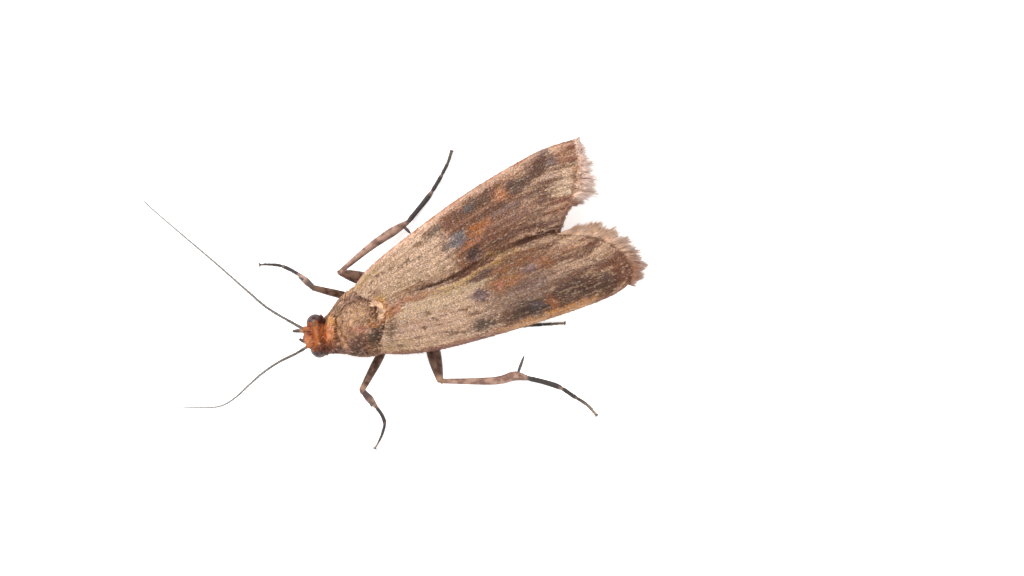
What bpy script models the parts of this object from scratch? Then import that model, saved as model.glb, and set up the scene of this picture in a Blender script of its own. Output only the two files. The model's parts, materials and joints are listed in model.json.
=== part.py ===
# A pantry moth at rest, life size, wings folded over its back.
# Metres, +Z up. The head points to -Y and the moth's left side is +X.
# The origin lies on the floor, under the middle of the moth's outline.

import random
from math import cos, pi, radians, sin, sqrt

import bmesh
import bpy
from mathutils import Matrix, Vector

# Driving dimensions. Lists of points and sizes below are in millimetres.

MM = 0.001
WELD = 0.001 * MM         # points closer than this become one
GAP = 0.1                 # clear space kept between neighbouring pieces
BODY_X = 0.1              # the thorax's middle plane
END_CAP = 0.08            # how far a body's rounded end stands past its last station
TUBE_CAP = 0.6            # the same for a tube, as a share of its radius
REAR_SLOPE = 0.14         # how steeply the wings and the abdomen sink behind the thorax
REAR_START = 0.0          # where along Y they start to
REAR_BLEND = 1.5          # over what length the slope builds up

# Thorax stations: y, middle x, half width, lowest z, highest z
THORAX_STATIONS = (
    (-2.05, 0.06, 0.34, 1.02, 1.62),
    (-1.93, 0.08, 0.54, 0.84, 1.86),
    (-1.60, 0.14, 0.72, 0.72, 2.10),
    (-1.20, 0.12, 0.82, 0.74, 2.27),
    (-0.80, 0.10, 0.78, 0.74, 2.30),
    (-0.50, 0.10, 0.66, 0.72, 2.18),
    (-0.26, 0.10, 0.54, 0.70, 1.66),
    (0.00, 0.09, 0.50, 0.72, 1.54),
    (0.22, 0.08, 0.34, 0.80, 1.36),
)
THORAX_RINGS = 17
THORAX_SIDES = 20
COLLAR_LOBE = {"out": 0.30, "y": -1.92, "z": 1.66, "radii": (0.33, 0.16, 0.30), "roll": 14.0, "splay": 12.0}
TEGULA = {"out": 0.74, "y": -1.10, "z": 1.80, "radii": (0.26, 0.44, 0.26), "roll": 24.0, "splay": -14.0}
SCUTELLUM = {"out": 0.0, "y": -0.52, "z": 1.98, "radii": (0.32, 0.24, 0.20), "roll": 0.0, "splay": 0.0}

# Abdomen: eight rings from the waist to the tuft at its end
ABDOMEN_FRONT = 0.20
ABDOMEN_LENGTH = 3.9
ABDOMEN_SEGMENTS = 8
ABDOMEN_HALF_WIDTH = 0.56
ABDOMEN_HALF_HEIGHT = 0.48
ABDOMEN_Z = 1.03
ABDOMEN_RING_STEP = 0.035
ABDOMEN_SWING = 0.14      # how far its end lies to the moth's right of its waist
ABDOMEN_SIDES = 16
ABDOMEN_WIDEST = 0.42     # where along it the girth is largest
WAIST_SHARE = 0.55        # the waist's girth as a share of the largest
WAIST_STEEPNESS = 2.1
END_TAPER = 1.3
END_TAPER_POWER = 2.2
SEGMENT_EDGE = 0.84       # where a segment's rear ring lies along it
TUFT_LOCKS = 9
TUFT_LENGTH = 0.62
TUFT_TURN = 0.3           # keeps the locks' edges off the abdomen's own edges
TUFT_ROOT = 0.90          # where along the abdomen a lock is rooted
TUFT_ROOT_DEPTH = 0.16
TUFT_TIP_DEPTH = 0.26
TUFT_HALF_WIDTH = 0.16
TUFT_HALF_THICKNESS = 0.09

# Head, turned a little to the moth's right: back, half width, lowest and highest from its centre
HEAD_CENTRE = (-0.06, -2.50, 1.36)
HEAD_YAW = -13.7
HEAD_STATIONS = (
    (-0.30, 0.0, 0.20, -0.24, 0.18),
    (-0.20, 0.0, 0.34, -0.36, 0.32),
    (-0.02, 0.0, 0.42, -0.42, 0.40),
    (0.18, 0.0, 0.42, -0.40, 0.41),
    (0.36, 0.0, 0.34, -0.30, 0.35),
    (0.52, 0.0, 0.22, -0.22, 0.26),
)
HEAD_RINGS = 11
HEAD_SIDES = 18
EYE_RADIUS = 0.235
EYE_OUT = 0.37
EYE_BACK = 0.02
EYE_UP = 0.04
EYE_FLOOR = 0.27          # the eye's flat inner face, out from the head's middle

# Palps: out, back and up from the head's centre, with a radius at each point
PALP_PATH = ((0.19, -0.05, -0.22), (0.23, -0.26, -0.28), (0.22, -0.42, -0.40), (0.19, -0.52, -0.54))
PALP_RADII = (0.17, 0.20, 0.17, 0.07)

# Antennae: the base is given from the head's centre, the rest in the moth's frame
ANTENNA_BASE = (0.22, -0.10, 0.16)
ANTENNA_PATHS = {
    "antenna_right": ((-0.72, -3.00, 1.86), (-1.33, -3.44, 1.95), (-2.07, -3.81, 2.00),
                      (-3.03, -4.27, 2.05), (-4.07, -4.79, 2.10), (-5.06, -5.28, 2.20),
                      (-5.41, -5.42, 2.25)),
    "antenna_left": ((0.17, -3.22, 1.88), (0.20, -3.71, 2.05), (0.30, -4.22, 2.30),
                     (0.46, -4.70, 2.58), (0.63, -5.15, 2.90), (0.70, -5.56, 3.30),
                     (0.61, -5.92, 3.75), (0.28, -6.65, 4.45)),
}
SCAPE_RADIUS = 0.22
FLAGELLUM_RADIUS = 0.22
ANTENNA_TIP_RADIUS = 0.05
ANTENNA_THIN_FROM = 0.5   # where along it the taper to the tip starts
ANTENNA_TAPER_POWER = 1.3
ANTENNA_WAIST = 0.93      # the radius between two joints, as a share of the joints' own
ANTENNA_RINGS = 26
SCAPE_BULGE = 1.08        # the first joint's radius at its middle and its end
SCAPE_END = 0.92

# Forewings: the roof they form, and the outline of each
ROOF_TOP = 2.30
ROOF_DROP = 0.72
ROOF_HALF_WIDTH = 2.1
ROOF_POWER = 1.6
WING_THICKNESS = 0.5
WING_RIM_STEP = 0.09
SEAM_HALF_GAP = 0.06
SEAM = ((-0.06, -0.55), (-0.14, 0.05), (-0.09, 0.80), (-0.03, 1.60), (-0.14, 2.50),
        (-0.20, 3.50), (-0.14, 4.30), (-0.10, 4.80))
FOREWINGS = {
    "forewing_right": {
        "side": -1,
        "costa": ((-0.72, -1.22), (-1.16, -0.56), (-1.49, 0.39), (-1.97, 2.22), (-2.24, 3.69),
                  (-2.42, 5.30), (-2.32, 6.30)),
        "termen": ((-2.32, 6.30), (-1.92, 6.16), (-1.25, 5.77), (-0.75, 5.42), (-0.38, 4.98)),
        "fringe": ((-2.34, 6.52), (-1.95, 6.58), (-1.30, 6.50), (-0.72, 6.34), (-0.52, 5.86),
                   (-0.40, 5.38), (-0.22, 5.06)),
        "inner_drop": 0.20,
        "seed": 11,
    },
    "forewing_left": {
        "side": 1,
        "costa": ((0.92, -1.32), (1.36, -0.46), (1.65, 0.57), (1.86, 1.92), (2.02, 3.36),
                  (2.13, 4.80), (2.15, 5.80), (1.88, 6.48)),
        "termen": ((1.88, 6.48), (1.36, 6.38), (0.90, 6.18), (0.48, 5.82), (0.22, 5.20)),
        "fringe": ((1.90, 6.72), (1.46, 6.78), (0.95, 6.64), (0.41, 6.37), (0.10, 5.98),
                   (0.06, 5.54), (0.10, 5.22)),
        "inner_drop": 0.0,
        "seed": 23,
    },
}
WING_ROWS = 21
WING_VEINS = 8
VEIN_HEIGHT = 0.055
VEIN_STEMS = (1, 3, 6, 7)         # the veins that start at the wing's root
VEIN_FORK = 0.42                  # where the others rise, along the wing
VEIN_FORK_LENGTH = 0.1
STRIP_FROM = 0.62                 # where across the wing the strip beside the seam starts to drop
STRIP_START = 0.3                 # where along the wing it starts
STRIP_BLEND = 0.3                 # how much of the wing it takes to drop in full
FRINGE_LOCKS = 22
LOCK_HALF_WIDTH = 0.115
LOCK_THICKNESS = 0.26
LOCK_PROFILE = ((0.0, 0.8, 1.0), (0.5, 1.0, 0.8), (0.82, 0.66, 0.5))    # along, width, thickness
LOCK_SUNK = 0.34                  # how far a lock's root lies inside the rim
LOCK_ROOT_PAST = 0.03             # how far its root's point stands behind its first ring, of its length
LOCK_LIFT = 0.03                  # how far up or down a lock's root may lie
LOCK_SAG = 0.08                   # how far down its tip may hang
LOCK_REACH = 0.93                 # the last lock's place, as a share of the way to the seam
LOCK_SHRINK_FROM = 0.72           # locks past this place get smaller
LOCK_SHRINK = 2.5
LOCK_PLACES = 201                 # points read along the rim and the fringe's edge

# Hindwings, folded flat beside the abdomen, under the forewings
HINDWING_INNER = ((0.36, -0.16), (0.72, 0.55), (0.80, 1.60), (0.78, 2.80), (0.72, 3.90), (0.78, 4.80))
HINDWING_OUTER = ((0.58, -0.34), (1.16, 0.50), (1.36, 1.60), (1.42, 2.80), (1.50, 3.90), (1.44, 5.10))
HINDWING_THICKNESS = 0.42
HINDWING_ROWS = 12
HINDWING_VEINS = 3
HINDWING_LOCKS = 8
HINDWING_LOCK_LENGTH = 0.36
HINDWING_LOCK_SPLAY = 0.03
PRESS_DEPTH = 0.10                # how far the right one is pressed down beside the seam
PRESS_START = 1.2                 # along Y
PRESS_BLEND = 1.5
PRESS_WIDTH = 1.1                 # across X

# Legs: coxa, trochanter, knee and ankle, then the points of the foot on the floor
FOOT_Z = 0.16
LEGS = {
    "leg_front_left": {
        "joints": ((0.38, -1.52, 0.95), (0.90, -0.86, 0.40), (1.83, -1.92, 0.80), (2.43, -1.75, 0.34)),
        "foot": ((2.75, -1.72), (3.15, -1.87), (3.48, -2.24)),
        "spurs": (),
    },
    "leg_front_right": {
        "joints": ((-0.20, -1.52, 0.95), (-0.60, -1.08, 0.40), (-1.34, -2.06, 0.80), (-1.86, -2.31, 0.34)),
        "foot": ((-2.10, -2.50), (-2.34, -2.76), (-2.54, -3.21)),
        "spurs": (),
    },
    "leg_mid_left": {
        "joints": ((0.44, -0.62, 0.95), (0.90, -0.24, 0.42), (2.46, 0.16, 0.80), (3.30, 2.44, 0.32)),
        "foot": ((3.63, 2.86), (4.33, 3.48), (5.06, 3.86)),
        "spurs": ((0.90, (-0.36, 0.42)), (0.93, (-0.10, 0.42))),
    },
    "leg_mid_right": {
        "joints": ((-0.24, -0.62, 0.95), (-0.68, -0.24, 0.42), (-1.46, -1.20, 0.84), (-1.93, 1.03, 0.32)),
        "foot": ((-2.28, 1.57), (-2.82, 2.37), (-3.37, 3.00)),
        "spurs": ((0.90, (0.20, 0.46)), (0.93, (0.38, 0.24))),
    },
    "leg_hind_left": {
        "joints": ((0.46, -0.04, 0.90), (0.72, 0.46, 0.30), (1.40, 1.34, 0.38), (1.80, 2.70, 0.28)),
        "foot": ((1.94, 2.96), (2.14, 3.50), (2.33, 4.03)),
        "spurs": ((0.52, (0.30, 0.36)), (0.90, (0.16, 0.46)), (0.93, (-0.26, 0.36))),
    },
    "leg_hind_right": {
        "joints": ((-0.28, -0.04, 0.90), (-0.62, 0.46, 0.30), (-1.28, 1.34, 0.38), (-1.62, 2.70, 0.28)),
        "foot": ((-1.75, 2.96), (-1.93, 3.50), (-2.10, 4.03)),
        "spurs": ((0.52, (-0.30, 0.36)), (0.90, (-0.16, 0.46)), (0.93, (0.26, 0.36))),
    },
}
COXA_RADIUS = 0.22
FEMUR_RADII = (0.22, 0.26, 0.24)
TIBIA_RADII = (0.24, 0.25, 0.22)
FEMUR_ARCH = 0.05         # how far the femur's middle stands above a straight line
FOOT_RADII = (0.21, 0.22, 0.20, 0.16)
FOOT_RINGS = 11
FOOT_SWELL = 0.06         # how much thicker the foot is at the end of each joint
FOOT_ROUND_END = 0.14     # the foot's last ring stands this far short of the claws' middle
CLAW_LENGTH = 0.17
CLAW_RADIUS = 0.06
CLAW_OUT = 0.06           # each claw's root, out from the foot's middle
CLAW_SPREAD = 0.08
CLAW_DROP = 0.04
SPUR_RADIUS = 0.08
SPUR_DROP = 0.04
SPIKE_MIDDLE = 0.6        # a spike's middle ring: where it lies, and the radii there and at its tip
SPIKE_TAPER = 0.7
SPIKE_TIP = 0.22
SPIKE_SIDES = 5

COLOURS = {
    "head": (0.42, 0.20, 0.09), "eye": (0.02, 0.012, 0.016), "palp": (0.42, 0.32, 0.24),
    "antenna": (0.20, 0.15, 0.12), "thorax": (0.33, 0.22, 0.15), "abdomen": (0.38, 0.30, 0.22),
    "forewing": (0.36, 0.22, 0.13), "hindwing": (0.50, 0.45, 0.40), "leg": (0.22, 0.15, 0.12),
}


def spline(points, count):
    """Points along a smooth curve through the given ones, ends included."""
    chain = [Vector(point) for point in points]
    first = chain[0] * 2 - chain[1]
    last = chain[-1] * 2 - chain[-2]
    chain = [first] + chain + [last]
    spans = len(points) - 1
    result = []
    for index in range(count):
        where = spans * index / (count - 1)
        span = min(int(where), spans - 1)
        part = where - span
        a, b, c, d = chain[span:span + 4]
        result.append(0.5 * (2 * b + (c - a) * part + (2 * a - 5 * b + 4 * c - d) * part ** 2
                             + (3 * b - a - 3 * c + d) * part ** 3))
    return result


def mix(a, b, part):
    return a * (1 - part) + b * part


def rear_drop(y):
    """How far the wings and the abdomen have sunk at this place along the body."""
    behind = max(0.0, y - REAR_START)
    if behind < REAR_BLEND:
        return REAR_SLOPE * behind ** 2 / (2 * REAR_BLEND)
    return REAR_SLOPE * (behind - REAR_BLEND / 2)


def make_object(name, bm):
    """A mesh object in metres from a bmesh in millimetres, with its faces turned outwards."""
    bmesh.ops.recalc_face_normals(bm, faces=bm.faces)
    bmesh.ops.scale(bm, vec=(MM, MM, MM), verts=bm.verts)
    mesh = bpy.data.meshes.new(name)
    bm.to_mesh(mesh)
    bm.free()
    made = bpy.data.objects.new(name, mesh)
    bpy.context.scene.collection.objects.link(made)
    return made


def skin_rings(name, rings, first_pole, last_pole):
    """A closed skin over rings of points, ended by a fan at each pole."""
    bm = bmesh.new()
    rows = [[bm.verts.new(point) for point in ring] for ring in rings]
    sides = len(rows[0])
    for low, high in zip(rows, rows[1:]):
        for side in range(sides):
            after = (side + 1) % sides
            bm.faces.new((low[side], low[after], high[after], high[side]))
    for row, pole in ((rows[0], first_pole), (rows[-1], last_pole)):
        tip = bm.verts.new(pole)
        for side in range(sides):
            bm.faces.new((row[side], row[(side + 1) % sides], tip))
    return make_object(name, bm)


def loft(name, stations, samples, sides, grow=0.0):
    """A body along Y from stations of y, middle x, half width, lowest and highest z."""
    smooth = spline(stations, samples)
    rings = []
    for y, middle_x, half_width, low, high in smooth:
        end_push = grow * (2 * (y - smooth[0][0]) / (smooth[-1][0] - smooth[0][0]) - 1)
        middle_z = (low + high) / 2
        half_height = (high - low) / 2 + grow
        ring = []
        for side in range(sides):
            angle = 2 * pi * (side + 0.5) / sides
            ring.append((middle_x + (half_width + grow) * cos(angle), y + end_push,
                         middle_z + half_height * sin(angle)))
        rings.append(ring)
    poles = []
    for end, push in ((smooth[0], -grow - END_CAP), (smooth[-1], grow + END_CAP)):
        poles.append((end[1], end[0] + push, (end[3] + end[4]) / 2))
    return skin_rings(name, rings, poles[0], poles[1])


def ball(name, centre, radii, turn=None, segments=12, rings=8):
    """An ellipsoid with its own turn, in millimetres."""
    bm = bmesh.new()
    bmesh.ops.create_uvsphere(bm, u_segments=segments, v_segments=rings, radius=1.0)
    shape = Matrix.Diagonal((*radii, 1.0))
    place = Matrix.Translation(centre)
    bmesh.ops.transform(bm, matrix=place @ (turn or Matrix.Identity(4)) @ shape, verts=bm.verts)
    return make_object(name, bm)


def box(name, low, high):
    bm = bmesh.new()
    bmesh.ops.create_cube(bm, size=1.0)
    size = Vector(high) - Vector(low)
    place = Matrix.Translation((Vector(high) + Vector(low)) / 2)
    bmesh.ops.transform(bm, matrix=place @ Matrix.Diagonal((*size, 1.0)), verts=bm.verts)
    return make_object(name, bm)


def tube(name, points, radii, sides=8):
    """A round-ended tube along a path, with a radius at each point."""
    path = [Vector(point) for point in points]
    across = None
    rings = []
    for index, point in enumerate(path):
        ahead = path[min(index + 1, len(path) - 1)]
        behind = path[max(index - 1, 0)]
        along = (ahead - behind).normalized()
        if across is None:
            across = along.cross(Vector((0, 0, 1))).normalized()
        across = (across - along * across.dot(along)).normalized()
        third = along.cross(across)
        ring = []
        for side in range(sides):
            angle = 2 * pi * side / sides
            ring.append(point + (across * cos(angle) + third * sin(angle)) * radii[index])
        rings.append(ring)
    first = path[0] + (path[0] - path[1]).normalized() * radii[0] * TUBE_CAP
    last = path[-1] + (path[-1] - path[-2]).normalized() * radii[-1] * TUBE_CAP
    return skin_rings(name, rings, first, last)


def smooth_tube(name, points, radii, samples, sides=8):
    """A tube whose path and radius both run smoothly through the given values."""
    joined = [Vector((*point, radius)) for point, radius in zip(points, radii)]
    smooth = spline(joined, samples)
    return tube(name, [value.xyz for value in smooth], [value.w for value in smooth], sides)


def apply_modifiers(obj):
    depsgraph = bpy.context.evaluated_depsgraph_get()
    mesh = bpy.data.meshes.new_from_object(obj.evaluated_get(depsgraph))
    obj.modifiers.clear()
    obj.data = mesh


def fuse(pieces):
    """Join closed pieces into the first by one Boolean union."""
    base = pieces[0]
    group = bpy.data.collections.new(base.name + "_pieces")
    bpy.context.scene.collection.children.link(group)
    for piece in pieces[1:]:
        group.objects.link(piece)
    union = base.modifiers.new("join", "BOOLEAN")
    union.operation = "UNION"
    union.operand_type = "COLLECTION"
    union.collection = group
    apply_modifiers(base)
    for piece in pieces[1:]:
        bpy.data.objects.remove(piece)
    bpy.data.collections.remove(group)
    return base


def cut(obj, cutter):
    """Take the cutter's shape out of the piece."""
    difference = obj.modifiers.new("cut", "BOOLEAN")
    difference.operation = "DIFFERENCE"
    difference.object = cutter
    apply_modifiers(obj)
    return obj


def keep_largest(obj):
    """Keep only the closed surface that holds the most volume."""
    bm = bmesh.new()
    bm.from_mesh(obj.data)
    bmesh.ops.remove_doubles(bm, verts=bm.verts, dist=WELD)
    left = set(bm.faces)
    shells = []
    while left:
        shell = set()
        stack = [left.pop()]
        while stack:
            face = stack.pop()
            shell.add(face)
            for edge in face.edges:
                for other in edge.link_faces:
                    if other in left:
                        left.remove(other)
                        stack.append(other)
        shells.append(shell)
    shells.sort(key=shell_volume)
    spare = [face for shell in shells[:-1] for face in shell]
    bmesh.ops.delete(bm, geom=spare, context="FACES")
    bmesh.ops.triangulate(bm, faces=bm.faces)
    bm.to_mesh(obj.data)
    bm.free()
    return obj


def shell_volume(shell):
    total = 0.0
    for face in shell:
        corners = [vert.co for vert in face.verts]
        for b, c in zip(corners[1:], corners[2:]):
            total += corners[0].dot(b.cross(c))
    return abs(total)


def finish(obj, name, material, smooth_angle=40):
    """Name the node, give it its material and shade its round faces smooth."""
    keep_largest(obj)
    obj.name = name
    obj.data.name = name
    obj.data.materials.clear()
    obj.data.materials.append(material)
    obj.data.shade_smooth()
    obj.data.set_sharp_from_angle(angle=radians(smooth_angle))
    return obj


def make_material(name, colour, roughness):
    material = bpy.data.materials.new(name)
    material.use_nodes = True
    shader = material.node_tree.nodes["Principled BSDF"]
    shader.inputs["Base Color"].default_value = (*colour, 1.0)
    shader.inputs["Roughness"].default_value = roughness
    shader.inputs["Metallic"].default_value = 0.0
    return material


# Thorax, with the collar lobes, the tegulae over the wing roots and the scutellum

def thorax_lobe(name, lobe, side, grow):
    radii = [radius + grow for radius in lobe["radii"]]
    roll = Matrix.Rotation(side * radians(lobe["roll"]), 4, "Y")
    splay = Matrix.Rotation(side * radians(lobe["splay"]), 4, "Z")
    centre = (BODY_X + side * lobe["out"], lobe["y"], lobe["z"])
    return ball(name, centre, radii, splay @ roll)


def thorax_shape(name, grow=0.0):
    pieces = [loft(name, THORAX_STATIONS, THORAX_RINGS, THORAX_SIDES, grow)]
    for side in (-1, 1):
        pieces.append(thorax_lobe("collar", COLLAR_LOBE, side, grow))
        pieces.append(thorax_lobe("tegula", TEGULA, side, grow))
    pieces.append(thorax_lobe("scutellum", SCUTELLUM, 1, grow))
    return fuse(pieces)


# Abdomen: each segment is widest near its rear edge and steps in to the next

def abdomen_size(where):
    """The abdomen's girth as a share of its largest, from waist 0 to end 1."""
    if where < ABDOMEN_WIDEST:
        ahead = WAIST_STEEPNESS * (ABDOMEN_WIDEST - where)
        return WAIST_SHARE + (1 - WAIST_SHARE) * sqrt(max(0.0, 1 - ahead ** 2))
    return 1 - END_TAPER * (where - ABDOMEN_WIDEST) ** END_TAPER_POWER


def abdomen_point(where, angle, shrink):
    """A point on the abdomen's skin, this far along and around it."""
    size = abdomen_size(where)
    x = BODY_X - ABDOMEN_SWING * where + (ABDOMEN_HALF_WIDTH * size - shrink) * cos(angle)
    y = ABDOMEN_FRONT + END_CAP + where * ABDOMEN_LENGTH
    z = ABDOMEN_Z - rear_drop(y) + (ABDOMEN_HALF_HEIGHT * size - shrink) * sin(angle)
    return Vector((x, y, z))


def abdomen_shape(name, grow=0.0):
    angles = [2 * pi * side / ABDOMEN_SIDES for side in range(ABDOMEN_SIDES)]
    rings = []
    for segment in range(ABDOMEN_SEGMENTS):
        for part, step in ((0.0, ABDOMEN_RING_STEP), (SEGMENT_EDGE, 0.0)):
            where = (segment + part) / ABDOMEN_SEGMENTS
            rings.append([abdomen_point(where, angle, step - grow) for angle in angles])
    front = (BODY_X, ABDOMEN_FRONT - grow, ABDOMEN_Z)
    rear_y = ABDOMEN_FRONT + ABDOMEN_LENGTH + 2 * END_CAP + grow
    rear = (BODY_X - ABDOMEN_SWING, rear_y, ABDOMEN_Z - rear_drop(rear_y))
    return skin_rings(name, rings, front, rear)


def abdomen_tuft():
    """Locks that close in to a blunt brush behind the last segment."""
    draw = random.Random(5)
    locks = []
    for index in range(TUFT_LOCKS):
        angle = 2 * pi * (index + TUFT_TURN) / TUFT_LOCKS
        root = abdomen_point(TUFT_ROOT, angle, TUFT_ROOT_DEPTH)
        tip = abdomen_point(1.0, angle, TUFT_TIP_DEPTH)
        tip.z += rear_drop(tip.y)
        tip.y = ABDOMEN_FRONT + ABDOMEN_LENGTH + TUFT_LENGTH * draw.uniform(0.75, 1.0)
        tip.z -= rear_drop(tip.y)
        across = Vector((-sin(angle), 0.0, cos(angle)))
        outward = Vector((cos(angle), 0.0, sin(angle)))
        locks.append(flat_lock("tuft", root, tip, across * TUFT_HALF_WIDTH, outward * TUFT_HALF_THICKNESS))
    return locks


# Head, in its own turned frame

def head_frame():
    return Matrix.Translation(Vector(HEAD_CENTRE) * MM) @ Matrix.Rotation(radians(HEAD_YAW), 4, "Z")


def set_in_head_frame(obj):
    obj.data.transform(head_frame())
    return obj


def head_shape(name, grow=0.0):
    return set_in_head_frame(loft(name, HEAD_STATIONS, HEAD_RINGS, HEAD_SIDES, grow))


def from_head(out, back, up):
    """A point given from the head's centre, in the moth's frame in millimetres."""
    return head_frame() @ (Vector((out, back, up)) * MM) / MM


def eye_shape(name, side, grow=0.0):
    """A round eye, flat on the inner face that sits in the head."""
    radius = EYE_RADIUS + grow
    turn = Matrix.Rotation(pi / 2, 4, "Y")
    eye = ball(name, (side * EYE_OUT, EYE_BACK, EYE_UP), (radius, radius, radius), turn, 14, 10)
    flat = side * (EYE_FLOOR - grow)
    low, high = sorted((flat, flat - side))
    inner = box("inner", (low, -1, -1), (high, 1, 1))
    cut(eye, inner)
    bpy.data.objects.remove(inner)
    return set_in_head_frame(eye)


def palp_shape(name, side):
    points = [from_head(side * out, back, up) for out, back, up in PALP_PATH]
    return smooth_tube(name, points, PALP_RADII, 9, 8)


def antenna_shape(name, side):
    out, back, up = ANTENNA_BASE
    start = from_head(side * out, back, up)
    points = [start] + [Vector(point) for point in ANTENNA_PATHS[name]]
    path = spline(points, ANTENNA_RINGS)
    radii = []
    for index in range(ANTENNA_RINGS):
        along = index / (ANTENNA_RINGS - 1)
        thin = max(0.0, (along - ANTENNA_THIN_FROM) / (1 - ANTENNA_THIN_FROM)) ** ANTENNA_TAPER_POWER
        joint = 1.0 if index % 2 else ANTENNA_WAIST
        radii.append(joint * mix(FLAGELLUM_RADIUS, ANTENNA_TIP_RADIUS, thin))
    stalk = tube(name, path, radii, 8)
    scape_end = mix(path[0], path[2], 0.9)
    scape = smooth_tube("scape", (start, mix(start, scape_end, 0.5), scape_end),
                        (SCAPE_RADIUS, SCAPE_RADIUS * SCAPE_BULGE, SCAPE_RADIUS * SCAPE_END), 5, 8)
    return fuse([stalk, scape])


# Wings

def roof_height(x, y):
    """The top of the folded wings over a point of the floor."""
    return ROOF_TOP - rear_drop(y) - ROOF_DROP * (abs(x) / ROOF_HALF_WIDTH) ** ROOF_POWER


def patch_point(base, tip, costa, inner, s, t, row, column):
    """A point inside four edge curves, s along the wing and t across it."""
    along = mix(costa[row], inner[row], t)
    across = mix(base[column], tip[column], s)
    corners = mix(mix(costa[0], costa[-1], s), mix(inner[0], inner[-1], s), t)
    return along + across - corners


def bridge_slab(name, top, bottom):
    """A closed slab from two grids of points, split into triangles alike on both faces."""
    bm = bmesh.new()
    upper = [[bm.verts.new(point) for point in row] for row in top]
    lower = [[bm.verts.new(point) for point in row] for row in bottom]
    rows = len(upper)
    columns = len(upper[0])
    for grid, flip in ((upper, False), (lower, True)):
        for r in range(rows - 1):
            for c in range(columns - 1):
                a, b = grid[r][c], grid[r][c + 1]
                d, e = grid[r + 1][c], grid[r + 1][c + 1]
                for corners in ((a, b, e), (a, e, d)):
                    bm.faces.new(tuple(reversed(corners)) if flip else corners)
    rim = [(0, c) for c in range(columns - 1)]
    rim += [(r, columns - 1) for r in range(rows - 1)]
    rim += [(rows - 1, c) for c in range(columns - 1, 0, -1)]
    rim += [(r, 0) for r in range(rows - 1, 0, -1)]
    for (r, c), (r2, c2) in zip(rim, rim[1:] + rim[:1]):
        bm.faces.new((upper[r][c], lower[r][c], lower[r2][c2], upper[r2][c2]))
    return make_object(name, bm)


def vein_rise(vein, s):
    """How much of its full height a vein has, this far along the wing."""
    if vein in VEIN_STEMS:
        return 1.0
    return min(1.0, max(0.0, (s - VEIN_FORK) / VEIN_FORK_LENGTH))


def seam_edge(side, rows):
    """The inner edge of a forewing, half a gap from the seam."""
    return [Vector((point.x + side * SEAM_HALF_GAP, point.y)) for point in spline(SEAM, rows)]


def forewing_surface(shape):
    """A grid of rows from root to tip, each from costa to inner edge: x, y and top z."""
    columns = 2 * WING_VEINS + 1
    costa = spline(shape["costa"], WING_ROWS)
    inner = seam_edge(shape["side"], WING_ROWS)
    tip = spline(tuple(shape["termen"]) + (tuple(inner[-1]),), columns)
    base = [mix(costa[0], inner[0], column / (columns - 1)) for column in range(columns)]
    grid = []
    for row in range(WING_ROWS):
        s = row / (WING_ROWS - 1)
        line = []
        for column in range(columns):
            t = column / (columns - 1)
            point = patch_point(base, tip, costa, inner, s, t, row, column)
            z = roof_height(point.x, point.y) - inner_strip_drop(shape, s, t)
            line.append(Vector((point.x, point.y, z)))
        grid.append(line)
    return grid


def inner_strip_drop(shape, s, t):
    """The strip beside the seam slopes down on the wing that lies underneath."""
    across = max(0.0, (t - STRIP_FROM) / (1 - STRIP_FROM))
    along = max(0.0, min(1.0, (s - STRIP_START) / STRIP_BLEND))
    return shape["inner_drop"] * across * along


def forewing_slab(name, shape):
    grid = forewing_surface(shape)
    columns = len(grid[0])
    top = []
    bottom = []
    for row, line in enumerate(grid):
        s = row / (WING_ROWS - 1)
        upper = []
        lower = []
        for column, point in enumerate(line):
            on_rim = row in (0, WING_ROWS - 1) or column in (0, columns - 1)
            step = WING_RIM_STEP if on_rim else 0.0
            rise = 0.0
            if column % 2 and not on_rim:
                rise = VEIN_HEIGHT * vein_rise(column // 2, s)
            upper.append(point + Vector((0, 0, rise - step)))
            lower.append(point + Vector((0, 0, step - WING_THICKNESS)))
        top.append(upper)
        bottom.append(lower)
    return bridge_slab(name, top, bottom)


def flat_lock(name, root, tip, half_width, half_thickness):
    """A flat, tapered lock of scales from its sunk root to its tip."""
    rings = []
    for part, wide, thick in LOCK_PROFILE:
        middle = mix(root, tip, part)
        side = half_width * wide
        up = half_thickness * thick
        rings.append([middle + side, middle + up, middle - side, middle - up])
    return skin_rings(name, rings, mix(root, tip, -LOCK_ROOT_PAST), tip)


def fringe_lock(name, start, end, draw, size=1.0):
    """One lock of a wing's fringe, from inside the rim at start out to end."""
    outward = (end - start).normalized()
    across = Vector((-outward.y, outward.x, 0.0)).normalized()
    root = start - outward * LOCK_SUNK * size
    root.z += draw.uniform(-LOCK_LIFT, LOCK_LIFT)
    tip = start + (end - start) * draw.uniform(0.94, 1.06)
    tip += across * draw.uniform(-LOCK_LIFT, LOCK_LIFT)
    tip.z -= draw.uniform(0.0, LOCK_SAG)
    half_width = across * LOCK_HALF_WIDTH * size * draw.uniform(0.95, 1.15)
    return flat_lock(name, root, tip, half_width, Vector((0, 0, LOCK_THICKNESS / 2)))


def forewing_locks(name, shape):
    """Locks along the wing's end, smaller where the two wings meet."""
    draw = random.Random(shape["seed"])
    inner_end = seam_edge(shape["side"], 2)[-1]
    edge = spline(tuple(shape["termen"]) + (tuple(inner_end),), LOCK_PLACES)
    outer = spline(shape["fringe"], LOCK_PLACES)
    locks = []
    for index in range(FRINGE_LOCKS):
        part = LOCK_REACH * (index + 0.5) / FRINGE_LOCKS
        at = round(part * (LOCK_PLACES - 1))
        size = 1 - LOCK_SHRINK * max(0.0, part - LOCK_SHRINK_FROM)
        depth = WING_THICKNESS / 2 + inner_strip_drop(shape, 1.0, part)
        start, end = (Vector((*point, roof_height(*point) - depth)) for point in (edge[at], outer[at]))
        locks.append(fringe_lock(name + "_lock", start, end, draw, size))
    return locks


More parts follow.
